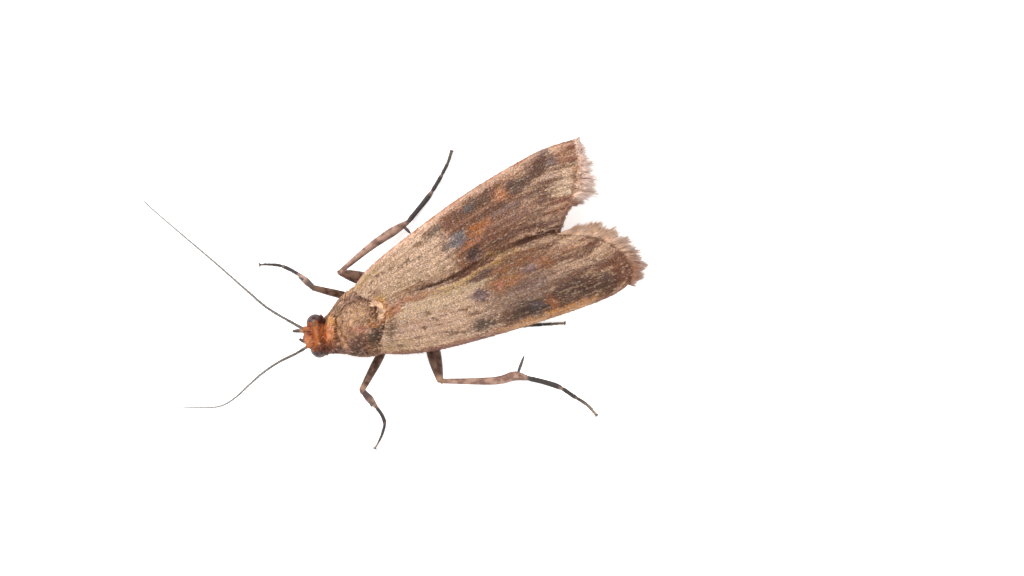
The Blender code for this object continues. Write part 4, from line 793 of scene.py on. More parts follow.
roof = {"top": 2.30, "drop": 0.72, "halfWidth": 2.1, "power": 1.6, "rearSlope": 0.14, "rearBlend": 1.5}
seam = ((-0.06, -0.55), (-0.14, 0.05), (-0.09, 0.80), (-0.03, 1.60), (-0.14, 2.50),
        (-0.20, 3.50), (-0.14, 4.30), (-0.10, 4.80))
forewing = {
    "thick": 0.03, "coatDepth": 0.05, "veinHeight": 0.045, "veinWidth": 0.22, "forkFrom": 0.42,
    "edgeRoll": 0.30, "edgeWidth": 0.07, "frontDip": 0.22, "dipEnd": 0.07, "rows": 120, "columns": 97,
    "underlap": 0.20, "stripFrom": 0.62, "rowStep": 0.050, "scaleStep": 0.036,
    "scaleLength": 0.150, "scaleHalfWidth": 0.026,
    "left": {
        "costa": ((0.92, -1.32), (1.36, -0.46), (1.65, 0.57), (1.86, 1.92), (2.02, 3.36),
                  (2.13, 4.80), (2.13, 5.66), (2.00, 6.22)),
        "termen": ((2.00, 6.22), (1.68, 6.42), (1.26, 6.38), (0.86, 6.16), (0.48, 5.80), (0.20, 5.30)),
        "fringe": ((2.13, 6.27), (1.94, 6.62), (1.66, 6.80), (1.26, 6.77), (0.86, 6.65), (0.44, 6.42),
                   (0.10, 6.06), (-0.02, 5.60), (0.00, 5.12)),
        "seamShift": 0.03, "stripDrop": 0.0, "seed": 41,
    },
    "right": {
        "costa": ((-0.72, -1.22), (-1.16, -0.56), (-1.49, 0.39), (-1.97, 2.22), (-2.24, 3.69),
                  (-2.42, 5.30), (-2.33, 6.39)),
        "termen": ((-2.33, 6.39), (-1.90, 6.24), (-1.46, 6.05), (-1.08, 5.81), (-0.77, 5.53), (-0.48, 5.18)),
        "fringe": ((-2.34, 6.52), (-1.93, 6.50), (-1.50, 6.53), (-1.03, 6.41), (-0.69, 6.28), (-0.58, 5.86),
                   (-0.56, 5.45), (-0.28, 5.12), (-0.04, 4.93)),
        "seamShift": 0.0, "stripDrop": 0.22, "seed": 53,
    },
}


def rearDrop(y):
    behind = np.maximum(0.0, y)
    blend = roof["rearBlend"]
    return roof["rearSlope"] * np.where(behind < blend, behind ** 2 / (2 * blend), behind - blend / 2)


def roofHeight(x, y):
    return roof["top"] - rearDrop(y) - roof["drop"] * (np.abs(x) / roof["halfWidth"]) ** roof["power"]


def veinRise(s, t):
    # ridges that fan out from the wing's root; every other one starts further along
    place = t * veinCount
    number = np.floor(place).astype(int)
    ridge = np.exp(-((place - number - 0.5) / forewing["veinWidth"]) ** 2)
    stem = np.isin(number, (1, 3, 6, 7))
    grown = np.where(stem, 1.0, ease(s, forewing["forkFrom"], forewing["forkFrom"] + 0.1))
    return forewing["veinHeight"] * ridge * grown * ease(1.02 - s, 0.0, 0.06)


def stripShare(t):               # how far the strip beside the seam has sunk under the other wing, 0 to 1
    return np.clip((t - forewing["stripFrom"]) / (1 - forewing["stripFrom"]), 0, 1)


def wingPoint(side, s, t, veins=True):       # the top of the membrane
    wing = forewing[side]
    inside = np.clip(t, 0, 1)
    seamLine = np.asarray(seam) + (wing["seamShift"], 0)
    costa, inner = curveAt(wing["costa"], s), curveAt(seamLine, s)
    tip = curveAt((*wing["termen"], tuple(seamLine[-1])), inside)
    firstCosta, lastCosta = np.array(wing["costa"][0]), np.array(wing["costa"][-1])
    firstInner, lastInner = seamLine[0], seamLine[-1]
    along, across = s[..., None], inside[..., None]
    base = firstCosta * (1 - across) + firstInner * across
    corners = (firstCosta * (1 - along) + lastCosta * along) * (1 - across)
    corners = corners + (firstInner * (1 - along) + lastInner * along) * across
    flat = costa * (1 - across) + inner * across + base * (1 - along) + tip * along - corners
    x, y = flat[..., 0], flat[..., 1]
    strip = wing["stripDrop"] * stripShare(inside) * ease(s, 0.15, 0.5)
    nearEdge = np.clip(1 - inside / forewing["edgeWidth"], 0, 1)
    roll = forewing["edgeRoll"] * nearEdge ** 2 * ease(s, -0.05, 0.25)
    dip = forewing["frontDip"] * (1 - ease(s, 0.0, forewing["dipEnd"]))
    z = roofHeight(x, y) - forewing["coatDepth"] - strip - roll - dip
    if veins:
        z = z + veinRise(s, inside)
    past = np.maximum(t - 1, 0)                  # the strip under the other wing, which curls up to it again
    return np.stack((x + past * 2.0, y, z - past * 0.5 + 2 * strip * past / forewing["underlap"]), axis=-1)


def wingFrame(side, s, t):       # point, direction along the wing and normal
    step = 0.004
    here = wingPoint(side, s, t)
    ahead = wingPoint(side, s + step, t, False) - wingPoint(side, s - step, t, False)
    outer = wingPoint(side, s, t - step * 3) - wingPoint(side, s, t + step * 3)
    along = unit(ahead)
    normal = unit(np.cross(along, outer))
    normal = normal * np.where(normal[..., 2:] < 0, -1, 1)
    return here, along, normal


def placeGrid(rows, columns):    # places along and across a wing
    return np.meshgrid(np.linspace(0, 1, rows), np.linspace(0, 1, columns), indexing="ij")


def wingMembrane(side):
    s, t = placeGrid(forewing["rows"], forewing["columns"])
    if side == "right":
        t = np.concatenate((t, np.full((len(t), 1), 1 + forewing["underlap"] / 2)), axis=1)
        s = np.concatenate((s, s[:, -1:]), axis=1)
    top = wingPoint(side, s, t)
    bottom = top - (0, 0, forewing["thick"])
    part = slabPart(top, bottom)
    place = np.stack((s, t, np.zeros_like(s)), axis=-1).reshape(-1, 3)
    part["place"] = np.vstack((place, place))
    return part


def wingScalePart(side):
    wing = forewing[side]
    draw = np.random.default_rng(wing["seed"])
    lastT = 1.0 if side == "left" else 1 + forewing["underlap"] / 2 - 0.02
    middle = wingPoint(side, np.linspace(0, 1, 60), np.full(60, 0.4))
    length = np.linalg.norm(np.diff(middle, axis=0), axis=1).sum()
    rows = int(length / forewing["rowStep"])
    allS, allT = [], []
    for row in range(rows):
        s = (row + 0.3) / rows
        ends = wingPoint(side, np.array((s, s)), np.array((0.0, 1.0)))
        count = int(np.linalg.norm(ends[0] - ends[1]) * lastT / forewing["scaleStep"])
        t = (np.arange(count) + 0.25 + 0.5 * (row % 2)) / count * lastT
        allT.append(t + draw.uniform(-0.3, 0.3, count) / count)
        allS.append(s + draw.uniform(-0.3, 0.3, count) / rows)
    s, t = np.clip(np.concatenate(allS), 0.002, 0.995), np.clip(np.concatenate(allT), 0.003, lastT)
    here, along, normal = wingFrame(side, s, t)
    count = len(s)
    along = turned(along, normal, draw.normal(0, 0.10, count))
    size = draw.uniform(0.85, 1.15, count)
    seen = 0.7 * forewing["scaleLength"] / length         # how much further along its bare part lies
    place = np.column_stack((np.minimum(s + seen, 1.003), t, np.zeros(count)))
    look = {
        "length": forewing["scaleLength"] * size,
        "halfWidth": forewing["scaleHalfWidth"] * draw.uniform(0.85, 1.2, count),
        "sunk": np.full(count, -0.010), "lift": draw.uniform(0.016, 0.032, count),
        "curl": draw.uniform(-0.006, 0.008, count), "place": place, "tone": draw.uniform(0, 1, count),
        "patch": np.column_stack((s * 0.96 + 0.02, np.clip(t, 0, 1.1) * 0.86 + 0.02)),
    }
    toothed = draw.uniform(0, 1, count) < 0.5
    parts = []
    for shape, chosen in (("shingle", ~toothed), ("toothed", toothed)):
        some = {key: value[chosen] for key, value in look.items()}
        parts.append(growVanes(shape, here[chosen], along[chosen], normal[chosen], some))
    return joinParts(parts)


fringe = {                       # each layer: root, share of the reach, half width, height
    "layers": ((0.988, 0.46, 0.015, 0.018), (0.982, 0.64, 0.013, 0.010), (0.978, 0.82, 0.011, 0.004),
               (0.974, 0.96, 0.009, -0.004), (0.970, 1.06, 0.007, -0.010)),
    "perLayer": 700, "clump": 0.035, "stray": 0.07,
}


def fringePart(side):
    wing = forewing[side]
    draw = np.random.default_rng(wing["seed"] + 1)
    hair = np.array(vaneShapes["lance"]["outline"])[:, 0]
    alongHair = np.concatenate((hair, hair[::-1], (vaneMiddle, vaneMiddle)))     # how far out each point lies
    parts = []
    for start, share, halfWidth, height in fringe["layers"]:
        count = fringe["perLayer"]
        t = np.sort(draw.uniform(0.0, 0.985, count))
        s = np.full(count, start)
        root = wingPoint(side, s, t)
        outer = curveAt(wing["fringe"], t)
        outer = np.column_stack((outer, roofHeight(outer[:, 0], outer[:, 1]) - forewing["coatDepth"]
                                 - wing["stripDrop"] * stripShare(t)))
        way = outer - root
        full = np.linalg.norm(way, axis=1)
        way = unit(way)
        up = np.tile((0.0, 0.0, 1.0), (count, 1))
        clump = fringe["clump"] * (np.sin(t * 61 + start * 300) + 0.7 * np.sin(t * 137 + share * 9))
        way = turned(way, up, clump + draw.normal(0, fringe["stray"], count))
        place = np.column_stack((np.full(count, 1.02), t, np.zeros(count)))
        tufted = 1 + 0.10 * np.sin(t * 47 + wing["seed"]) + 0.08 * np.sin(t * 113 + share * 5)
        look = {
            "length": full * share * draw.uniform(0.66, 1.08, count) * tufted,
            "halfWidth": halfWidth * draw.uniform(0.7, 1.3, count),
            "sunk": np.full(count, height), "lift": draw.uniform(-0.02, 0.02, count),
            "curl": draw.uniform(-0.05, 0.01, count), "place": place, "tone": draw.uniform(0, 1, count),
            "patch": np.column_stack((np.full(count, 0.985) - 0.004 * draw.integers(0, 3, count),
                                      t * 0.86 + 0.02)),
        }
        hairs = growVanes("lance", root, way, up, look)
        hairs["place"][:, 2] = np.tile(alongHair, count) * share
        parts.append(hairs)
    return joinParts(parts)


# The mantle: long scales of shoulders and back that lie over the wings' roots, coloured as the body is

mantle = {
    "border": ((-1.10, -1.12), (-0.87, -1.04), (-0.50, -0.73), (-0.33, -0.57), (0.09, -0.33), (0.50, -0.46),
               (0.78, -0.80), (0.88, -1.21), (1.08, -1.42)),
    "along": 0.050, "across": 0.046, "length": 0.20, "halfWidth": 0.038, "reach": 0.34, "seed": 67,
}


def mantlePart():
    draw = np.random.default_rng(mantle["seed"])
    edge = np.array(mantle["border"])
    roots, ways, ups, tops = [], [], [], []
    for side in ("left", "right"):
        t, s = np.meshgrid(np.arange(0.02, 1.0, mantle["across"] / 1.3),
                           np.arange(0.0, 0.20, mantle["along"] / 7.6))
        t = (t + draw.uniform(-0.02, 0.02, t.shape)).ravel()
        s = np.maximum(s + draw.uniform(-0.003, 0.003, s.shape), 0.001).ravel()
        t = np.clip(t, 0.01, 0.99)
        here, along, up = wingFrame(side, s, t)
        limit = np.interp(here[:, 0], edge[:, 0], edge[:, 1])
        inside = here[:, 1] < limit - 0.10 + draw.uniform(-0.12, 0.12, len(limit))
        raised = mantle["reach"] * ease(limit - here[:, 1], 0.0, 0.6)
        roots.append(here[inside])
        ways.append(along[inside])
        ups.append(up[inside])
        tops.append(raised[inside])
    roots, ways, ups, tops = (np.concatenate(rows) for rows in (roots, ways, ups, tops))
    ups = unit(ups * (0.4, 0.4, 1.0))
    roots = roots + ups * (0.02 + tops * 0.3)[:, None]
    count = len(roots)
    size = draw.uniform(0.8, 1.15, count)
    look = {
        "length": mantle["length"] * size, "halfWidth": mantle["halfWidth"] * draw.uniform(0.8, 1.2, count),
        "sunk": np.full(count, -0.02), "lift": draw.uniform(0.0, 0.03, count),
        "curl": draw.uniform(-0.03, 0.0, count),
        "place": roots + ways * 0.65 * mantle["length"], "tone": draw.uniform(0, 1, count),
        "patch": np.column_stack((roots[:, 0] * 0.4 + 0.5, roots[:, 1] * 0.4 + 0.8)),
    }
    return growVanes("shingle", roots, turned(ways, ups, draw.normal(0, 0.12, count)), ups, look)


for side in ("left", "right"):
    makePiece("forewing_membrane_" + side, wingMembrane(side), wingSkins[side], ["forewing_" + side])
    makePiece("forewing_scales_" + side, wingScalePart(side), wingScales[side])
    makePiece("forewing_fringe_" + side, fringePart(side), wingScales[side])
makePiece("mantle_scales", mantlePart(), coatMaterial)

print("hindwings")


# Hindwings, folded lengthwise under the forewings

hindwing = {
    "inner": ((0.36, -0.16), (0.72, 0.55), (0.80, 1.60), (0.78, 2.80), (0.72, 3.90), (0.78, 4.80)),
    "outer": ((0.58, -0.34), (1.16, 0.50), (1.36, 1.60), (1.42, 2.80), (1.50, 3.90), (1.44, 5.10)),
    "below": 0.70, "thick": 0.02, "pleats": 4, "pleatDepth": 0.10, "fringe": 0.42, "rows": 60, "columns": 49,
    "press": 0.10,
}


def hindwingPoint(sign, s, t):
    inner, outer = curveAt(hindwing["inner"], s), curveAt(hindwing["outer"], s)
    flat = inner * (1 - t[..., None]) + outer * t[..., None]
    x, y = flat[..., 0], flat[..., 1]
    z = roofHeight(x, y) - hindwing["below"]
    if sign < 0:
        z = z - hindwing["press"] * np.clip((y - 1.2) / 1.5, 0, 1) * np.maximum(0, 1.1 - x)
    pleat = np.abs((t * hindwing["pleats"]) % 1.0 - 0.5) * 2
    z = z - hindwing["pleatDepth"] * (1 - pleat) * ease(s, 0.0, 0.3)
    return np.stack((sign * x, y, z), axis=-1)


def hindwingPart(sign):
    s, t = placeGrid(hindwing["rows"], hindwing["columns"])
    top = hindwingPoint(sign, s, t)
    part = slabPart(top, top - (0, 0, hindwing["thick"]))
    if sign > 0:
        part["faces"] = part["faces"][:, ::-1]
    return part


def hindwingHairs(sign):
    draw = np.random.default_rng(70 + sign)
    parts = []
    for share, halfWidth in ((0.35, 0.016), (0.7, 0.013), (1.0, 0.010)):
        count = 160
        t = draw.uniform(0, 1, count)
        root = hindwingPoint(sign, np.full(count, 0.985), t)
        way = np.column_stack((sign * (t - 0.5) * 0.3, np.ones(count), np.full(count, -roof["rearSlope"])))
        up = np.tile((0.0, 0.0, 1.0), (count, 1))
        way = turned(unit(way), up, draw.normal(0, 0.12, count))
        look = {
            "length": hindwing["fringe"] * share * draw.uniform(0.8, 1.1, count),
            "halfWidth": halfWidth * draw.uniform(0.7, 1.3, count), "sunk": np.full(count, -0.008),
            "lift": draw.uniform(-0.03, 0.03, count), "curl": draw.uniform(-0.04, 0.02, count), "place": root,
            "tone": draw.uniform(0, 1, count),
            "patch": np.column_stack((t * 0.9 + 0.04, np.full(count, 0.95))),
        }
        parts.append(growVanes("lance", root, way, up, look))
    return joinParts(parts)


for name, sign in (("left", 1), ("right", -1)):
    makePiece("hindwing_membrane_" + name, hindwingPart(sign), hindSkin, ["hindwing_" + name])
    makePiece("hindwing_fringe_" + name, hindwingHairs(sign), hindFringe)

print("body")


# Body skin: thorax, head, neck and abdomen grown together, then the legs and palps joined on

thorax = {
    "stations": (                # from front to rear: y, middle, half width, bottom, top
        (-2.28, 0.05, 0.36, 1.06, 1.64), (-2.12, 0.08, 0.52, 0.94, 1.80), (-1.90, 0.11, 0.63, 0.84, 1.97),
        (-1.62, 0.10, 0.76, 0.74, 2.14), (-1.20, 0.11, 0.86, 0.74, 2.28), (-0.80, 0.10, 0.80, 0.74, 2.31),
        (-0.50, 0.10, 0.66, 0.72, 2.18), (-0.26, 0.10, 0.54, 0.70, 1.66), (0.00, 0.09, 0.50, 0.72, 1.54),
        (0.22, 0.08, 0.34, 0.80, 1.36)),
    "middle": 0.1,
    "lobes": (                   # collar, shoulders and scutellum: centre, radii, roll, turn
        ((-0.16, -1.99, 1.67), (0.33, 0.22, 0.34), -14.0, -16.0),
        ((0.27, -2.09, 1.63), (0.33, 0.22, 0.34), 14.0, -16.0),
        ((-0.64, -1.10, 1.80), (0.26, 0.44, 0.26), -24.0, 14.0),
        ((0.84, -1.10, 1.80), (0.26, 0.44, 0.26), 24.0, -14.0),
        ((0.00, -0.46, 2.10), (0.28, 0.26, 0.22), 0.0, -12.0)),
}
head = {
    "centre": (-0.06, -2.50, 1.36), "yaw": -13.7,
    "stations": (
        (-0.31, 0.0, 0.18, -0.22, 0.18), (-0.22, 0.0, 0.34, -0.36, 0.32), (-0.06, 0.0, 0.42, -0.42, 0.41),
        (0.12, 0.0, 0.43, -0.42, 0.43), (0.28, 0.0, 0.44, -0.36, 0.40), (0.42, 0.0, 0.42, -0.30, 0.36),
        (0.56, 0.0, 0.36, -0.22, 0.30)),
}
abdomen = {"front": 0.28, "length": 3.9, "segments": 8, "halfWidth": 0.56, "halfHeight": 0.48, "z": 1.03,
           "step": 0.05, "swing": 0.14}
skin = {"coatDepth": 0.05, "voxel": 0.03}


def scratchObject(name, part):
    mesh = bpy.data.meshes.new(name)
    faces = [tuple(face) for face in part["faces"].tolist()]
    mesh.from_pydata(np.asarray(part["points"]).tolist(), [], faces)
    made = bpy.data.objects.new(name, mesh)
    bpy.context.scene.collection.objects.link(made)
    return made


def loftPart(stations, samples, sides, shrink):
    smooth = curveAt(stations, np.linspace(0, 1, samples))
    angles = 2 * pi * (np.arange(sides) + 0.5) / sides
    rings = []
    for y, middleX, halfWidth, low, high in smooth:
        rings.append(np.column_stack((middleX + (halfWidth - shrink) * np.cos(angles), np.full(sides, y),
                                      (low + high) / 2 + ((high - low) / 2 - shrink) * np.sin(angles))))
    ends = []
    for end, push in ((smooth[0], -0.04), (smooth[-1], 0.04)):
        ends.append((end[1], end[0] + push, (end[3] + end[4]) / 2))
    return ringPart(rings, ends[0], ends[1])


def meshPart(bm):                # a mesh of triangles as rows of numbers
    return {"points": np.array([vert.co[:] for vert in bm.verts]),
            "faces": np.array([[vert.index for vert in face.verts] for face in bm.faces])}


def pointTree(points):           # for finding the nearest of the points
    tree = KDTree(len(points))
    for number, point in enumerate(points):
        tree.insert(point, number)
    tree.balance()
    return tree


def lobePart(centre, radii, roll, turn):
    leaning = Matrix.Rotation(radians(turn), 4, "Z") @ Matrix.Rotation(radians(roll), 4, "Y")
    size = Matrix.Diagonal((*[radius - skin["coatDepth"] for radius in radii], 1.0))
    bm = bmesh.new()
    bmesh.ops.create_icosphere(bm, subdivisions=4, radius=1.0)
    bmesh.ops.transform(bm, matrix=Matrix.Translation(centre) @ leaning @ size, verts=bm.verts)
    part = meshPart(bm)
    bm.free()
    return part


def headFrame():
    return Matrix.Translation(head["centre"]) @ Matrix.Rotation(radians(head["yaw"]), 4, "Z")


def fromHead(out, back, up):
    return headFrame() @ Vector((out, back, up))


def placed(part, matrix):
    points = np.c_[part["points"], np.ones(len(part["points"]))] @ np.array(matrix).T
    return {**part, "points": points[:, :3]}


def abdomenGirth(where):
    if where < 0.42:
        return 0.55 + 0.45 * np.sqrt(max(0.0, 1 - (2.1 * (0.42 - where)) ** 2))
    return 1 - 1.3 * (where - 0.42) ** 2.2


def abdomenPart():
    angles = 2 * pi * np.arange(40) / 40
    rings = []
    for segment in range(abdomen["segments"]):
        for part, step in ((0.0, abdomen["step"]), (0.25, 0.018), (0.55, 0.0), (0.86, 0.0)):
            where = (segment + part) / abdomen["segments"]
            girth = abdomenGirth(where)
            shrink = skin["coatDepth"] * 0.6 + step
            y = abdomen["front"] + where * abdomen["length"]
            across, upward = (abdomen[key] * girth - shrink for key in ("halfWidth", "halfHeight"))
            x = thorax["middle"] - abdomen["swing"] * where + across * np.cos(angles)
            z = abdomen["z"] - rearDrop(y) + upward * np.sin(angles)
            rings.append(np.column_stack((x, np.full(40, y), z)))
    rear = abdomen["front"] + abdomen["length"] + 0.04
    first = (thorax["middle"], abdomen["front"] - 0.06, abdomen["z"])
    last = (thorax["middle"] - abdomen["swing"], rear, abdomen["z"] - rearDrop(rear))
    return ringPart(rings, first, last)


def corePart():
    # the soft core in one voxel skin
    depth = skin["coatDepth"]
    parts = [loftPart(thorax["stations"], 40, 40, depth), abdomenPart()]
    parts += [lobePart(*lobe) for lobe in thorax["lobes"]]
    parts.append(placed(loftPart(head["stations"], 24, 36, depth), headFrame()))
    neck = (fromHead(0, 0.3, -0.04), (0.04, -2.08, 1.34), (0.08, -1.80, 1.38))
    parts.append(tubePart(curveAt(neck, np.linspace(0, 1, 9)), np.full(9, 0.36), 20))
    waist = ((0.10, 0.0, 1.10), (0.10, 0.2, 1.06), (0.10, 0.5, 1.02))
    parts.append(tubePart(curveAt(waist, np.linspace(0, 1, 9)), np.full(9, 0.26), 20))
    made = scratchObject("core", joinParts(parts))
    remesh = made.modifiers.new("grow together", "REMESH")
    remesh.mode = "VOXEL"
    remesh.voxel_size = skin["voxel"]
    soften = made.modifiers.new("soften", "SMOOTH")
    soften.factor = 0.5
    soften.iterations = 3
    return made


# Legs: coxa, trochanter, knee and ankle, then the foot's points on the floor

legs = {
    "leg_front_left": {
        "joints": ((0.38, -1.52, 0.95), (0.98, -0.88, 0.40), (1.83, -1.93, 0.80), (2.43, -1.76, 0.30)),
        "foot": ((2.70, -1.71), (2.94, -1.73), (3.15, -1.87), (3.34, -2.06), (3.48, -2.24)),
        "femur": (0.10, 0.125, 0.11, 0.085), "tibia": (0.075, 0.090, 0.112, 0.085, 0.052),
        "tarsus": (0.050, 0.046, 0.034, 0.020), "spurs": ((0.50, (0.26, -0.02)),)},
    "leg_front_right": {
        "joints": ((-0.20, -1.52, 0.95), (-0.60, -1.08, 0.40), (-1.34, -2.06, 0.80), (-1.86, -2.31, 0.30)),
        "foot": ((-2.10, -2.50), (-2.31, -2.72), (-2.45, -2.98), (-2.54, -3.21)),
        "femur": (0.095, 0.112, 0.10, 0.080), "tibia": (0.072, 0.085, 0.098, 0.078, 0.050),
        "tarsus": (0.050, 0.044, 0.034, 0.020), "spurs": ((0.50, (-0.20, -0.16)),)},
    "leg_mid_left": {
        "joints": ((0.44, -0.62, 0.95), (1.14, 0.42, 0.42), (2.46, 0.19, 0.80), (3.34, 2.47, 0.26)),
        "foot": ((3.63, 2.86), (3.95, 3.22), (4.33, 3.48), (4.68, 3.72), (5.06, 3.86)),
        "femur": (0.13, 0.20, 0.17, 0.090), "tibia": (0.064, 0.106, 0.120, 0.134, 0.075),
        "tarsus": (0.074, 0.066, 0.046, 0.034), "bow": (0.05, 0.0),
        "bend": ((3.10, 1.78, 0.42), (3.15, 2.17, 0.33)),
        "spurs": ((0.80, (-0.47, 0.43)), (0.95, (0.10, 0.22)))},
    "leg_mid_right": {
        "joints": ((-0.24, -0.62, 0.95), (-0.68, -0.24, 0.42), (-1.46, -1.22, 0.84), (-2.02, 1.10, 0.26)),
        "foot": ((-2.27, 1.57), (-2.50, 1.98), (-2.80, 2.40), (-3.12, 2.78), (-3.37, 3.00)),
        "femur": (0.12, 0.19, 0.17, 0.082), "tibia": (0.060, 0.084, 0.104, 0.122, 0.128, 0.066),
        "tarsus": (0.074, 0.064, 0.046, 0.038), "bow": (-0.07, 0.03),
        "spurs": ((0.93, (0.32, 0.12)), (0.94, (-0.06, 0.24)))},
    "leg_hind_left": {
        "joints": ((0.46, -0.04, 0.90), (0.72, 0.46, 0.30), (1.40, 1.34, 0.38), (1.80, 2.70, 0.22)),
        "foot": ((1.94, 2.96), (2.14, 3.50), (2.33, 4.03)),
        "spurs": ((0.52, (0.30, 0.36)), (0.90, (0.16, 0.46)), (0.93, (-0.26, 0.36)))},
    "leg_hind_right": {
        "joints": ((-0.28, -0.04, 0.90), (-0.62, 0.46, 0.30), (-1.28, 1.34, 0.38), (-1.62, 2.70, 0.22)),
        "foot": ((-1.75, 2.96), (-1.93, 3.50), (-2.10, 4.03)),
        "spurs": ((0.52, (-0.30, 0.36)), (0.90, (-0.16, 0.46)), (0.93, (0.26, 0.36)))},
}
legSizes = {                     # of the legs that give no sizes of their own
    "coxa": (0.17, 0.18, 0.12), "femur": (0.095, 0.135, 0.12, 0.085),
    "tibia": (0.070, 0.074, 0.090, 0.110, 0.066), "tarsus": (0.060, 0.052, 0.040, 0.028),
    "tarsusJoints": (0.0, 0.44, 0.65, 0.80, 0.90, 1.0),
    "clawLength": 0.07, "spurRadius": 0.044,
}


def widths(values, share):
    return curveAt(np.array(values)[:, None], share)[:, 0]


def legSections(plan):           # the four lengths of a leg: path, radii and limb numbers
    sizes = {**legSizes, **plan}
    coxa, trochanter, knee, ankle = (np.array(point) for point in plan["joints"])
    low = sizes["tarsus"][-1] + 0.012
    foot = np.array([(x, y, low) for x, y in plan["foot"]])
    foot[0][2] = low + 0.03
    share = np.linspace(0, 1, 26)
    rise = (trochanter + knee) / 2 + (0, 0, 0.05)
    long = np.linspace(0, 1, 40)
    bow = (knee + ankle) / 2 + (*plan.get("bow", (0, 0)), 0.02)
    fine = np.linspace(0, 1, 81)
    joint = np.interp(fine, sizes["tarsusJoints"], range(6))
    part = joint % 1.0
    swell = 1 + 0.16 * ease(part, 0.3, 0.8) - 0.30 * ease(part, 0.86, 0.98)
    swell = swell - 0.22 * (1 - ease(part, 0.0, 0.12))
    hip = (coxa + trochanter) / 2
    return [
        (curveAt((coxa, hip, trochanter), share), widths(sizes["coxa"], share), 0.3 * share - 0.3),
        (curveAt((trochanter, rise, knee), share), widths(sizes["femur"], share), share),
        (curveAt((knee, bow, *plan.get("bend", ()), ankle), long), widths(sizes["tibia"], long), 1 + long),
        (curveAt((ankle, *foot), fine), widths(sizes["tarsus"], fine) * swell, 2 + joint / 5),
    ]


palp = {
    "left": ((0.15, 0.02, -0.22), (0.15, -0.20, -0.30), (0.10, -0.34, -0.26), (0.03, -0.46, -0.18)),
    "right": ((-0.17, 0.02, -0.22), (-0.20, -0.22, -0.28), (-0.22, -0.40, -0.22), (-0.24, -0.60, -0.12)),
    "radii": (0.085, 0.090, 0.066, 0.044),
}
antenna = {
    "base": (0.20, -0.12, 0.17), "scape": (0.070, 0.066, 0.046), "radius": 0.036, "tip": 0.016, "joints": 52,
    "scalesAround": 9, "scaleLength": 0.085, "scaleHalfWidth": 0.012,
    "left": ((0.12, -2.86, 1.70), (0.17, -3.22, 1.88), (0.20, -3.71, 2.05), (0.30, -4.22, 2.30),
             (0.46, -4.70, 2.58), (0.63, -5.15, 2.90), (0.70, -5.56, 3.30), (0.61, -5.92, 3.75),
             (0.28, -6.63, 4.43)),
    "right": ((-0.41, -2.76, 1.70), (-0.72, -3.00, 1.86), (-1.33, -3.44, 1.95), (-2.07, -3.81, 2.00),
              (-3.03, -4.27, 2.05), (-4.07, -4.79, 2.10), (-5.06, -5.28, 2.20), (-5.39, -5.42, 2.25)),
}


def joinedSkin():
    # one closed skin, with what each point of it grows along
    tubes = []
    guide = {"points": [], "ways": [], "limbs": [], "radii": []}

    def addLimb(path, radii, limbs):
        tubes.append(tubePart(path, radii, 16))
        guide["points"].append(path)
        guide["ways"].append(unit(np.gradient(path, axis=0)))
        guide["limbs"].append(limbs)
        guide["radii"].append(radii)

    for plan in legs.values():
        for path, radii, limbs in legSections(plan):
            addLimb(path, radii, limbs)
    share = np.linspace(0, 1, 24)
    for name, side in (("left", 1), ("right", -1)):
        path = curveAt([fromHead(*point) for point in palp[name]], share)
        addLimb(path, widths(palp["radii"], share), 4 + share)
        out, back, up = antenna["base"]
        start = np.array(fromHead(side * out, back, up))
        scape = curveAt((start, (start + antenna[name][0]) / 2, antenna[name][0]), share)
        addLimb(scape, widths(antenna["scape"], share), 6 + share)
    core = corePart()
    group = bpy.data.collections.new("limbs")
    bpy.context.scene.collection.children.link(group)
    for number, tube in enumerate(tubes):
        group.objects.link(scratchObject("limb" + str(number), tube))
    union = core.modifiers.new("join", "BOOLEAN")
    union.operation = "UNION"
    union.operand_type = "COLLECTION"
    union.collection = group
    depsgraph = bpy.context.evaluated_depsgraph_get()
    mesh = bpy.data.meshes.new_from_object(core.evaluated_get(depsgraph))
    for made in [*group.objects, core]:
        bpy.data.objects.remove(made)
    bpy.data.collections.remove(group)
    return mesh, {key: np.concatenate(value) for key, value in guide.items()}


def keepOuter(mesh):             # one closed surface of triangles: whatever the union left inside is dropped
    bm = bmesh.new()
    bm.from_mesh(mesh)
    bmesh.ops.remove_doubles(bm, verts=bm.verts, dist=0.0005)
    bmesh.ops.triangulate(bm, faces=bm.faces)
    left = set(bm.faces)
    shells = []
    while left:
        shell = []
        stack = [left.pop()]
        while stack:
            face = stack.pop()
            shell.append(face)
            for edge in face.edges:
                for other in edge.link_faces:
                    if other in left:
                        left.remove(other)
                        stack.append(other)
        shells.append(shell)
    shells.sort(key=len)
    bmesh.ops.delete(bm, geom=[face for shell in shells[:-1] for face in shell], context="FACES")
    bm.normal_update()
    normals = np.array([vert.normal[:] for vert in bm.verts])
    bm.verts.index_update()
    part = meshPart(bm)
    bm.free()
    return part["points"], normals, part["faces"]


skinMesh, guide = joinedSkin()
skinPoints, skinNormals, skinFaces = keepOuter(skinMesh)
bpy.data.meshes.remove(skinMesh)
print("skin", len(skinFaces), "triangles")

guideTree = pointTree(guide["points"])
nearest = np.array([guideTree.find(point)[1:] for point in skinPoints])
nearIndex = nearest[:, 0].astype(int)
nearLimb = guide["limbs"][nearIndex]
onTube = nearest[:, 1] < guide["radii"][nearIndex] * 1.12 + 0.01
# away from the trunk, and near the floor, there are only limbs
outside = (np.abs(skinPoints[:, 0] - thorax["middle"]) > 1.1) | (skinPoints[:, 2] < 0.3)
skinLimb = np.where((onTube | outside) & (nearLimb >= -0.2), nearLimb, -1.0)
skinPart = {"points": skinPoints, "faces": skinFaces, "limb": skinLimb}
makePiece("body_skin", skinPart, skinMaterial,
          ["thorax", "abdomen", "head", "palp_left", "palp_right", *legs])

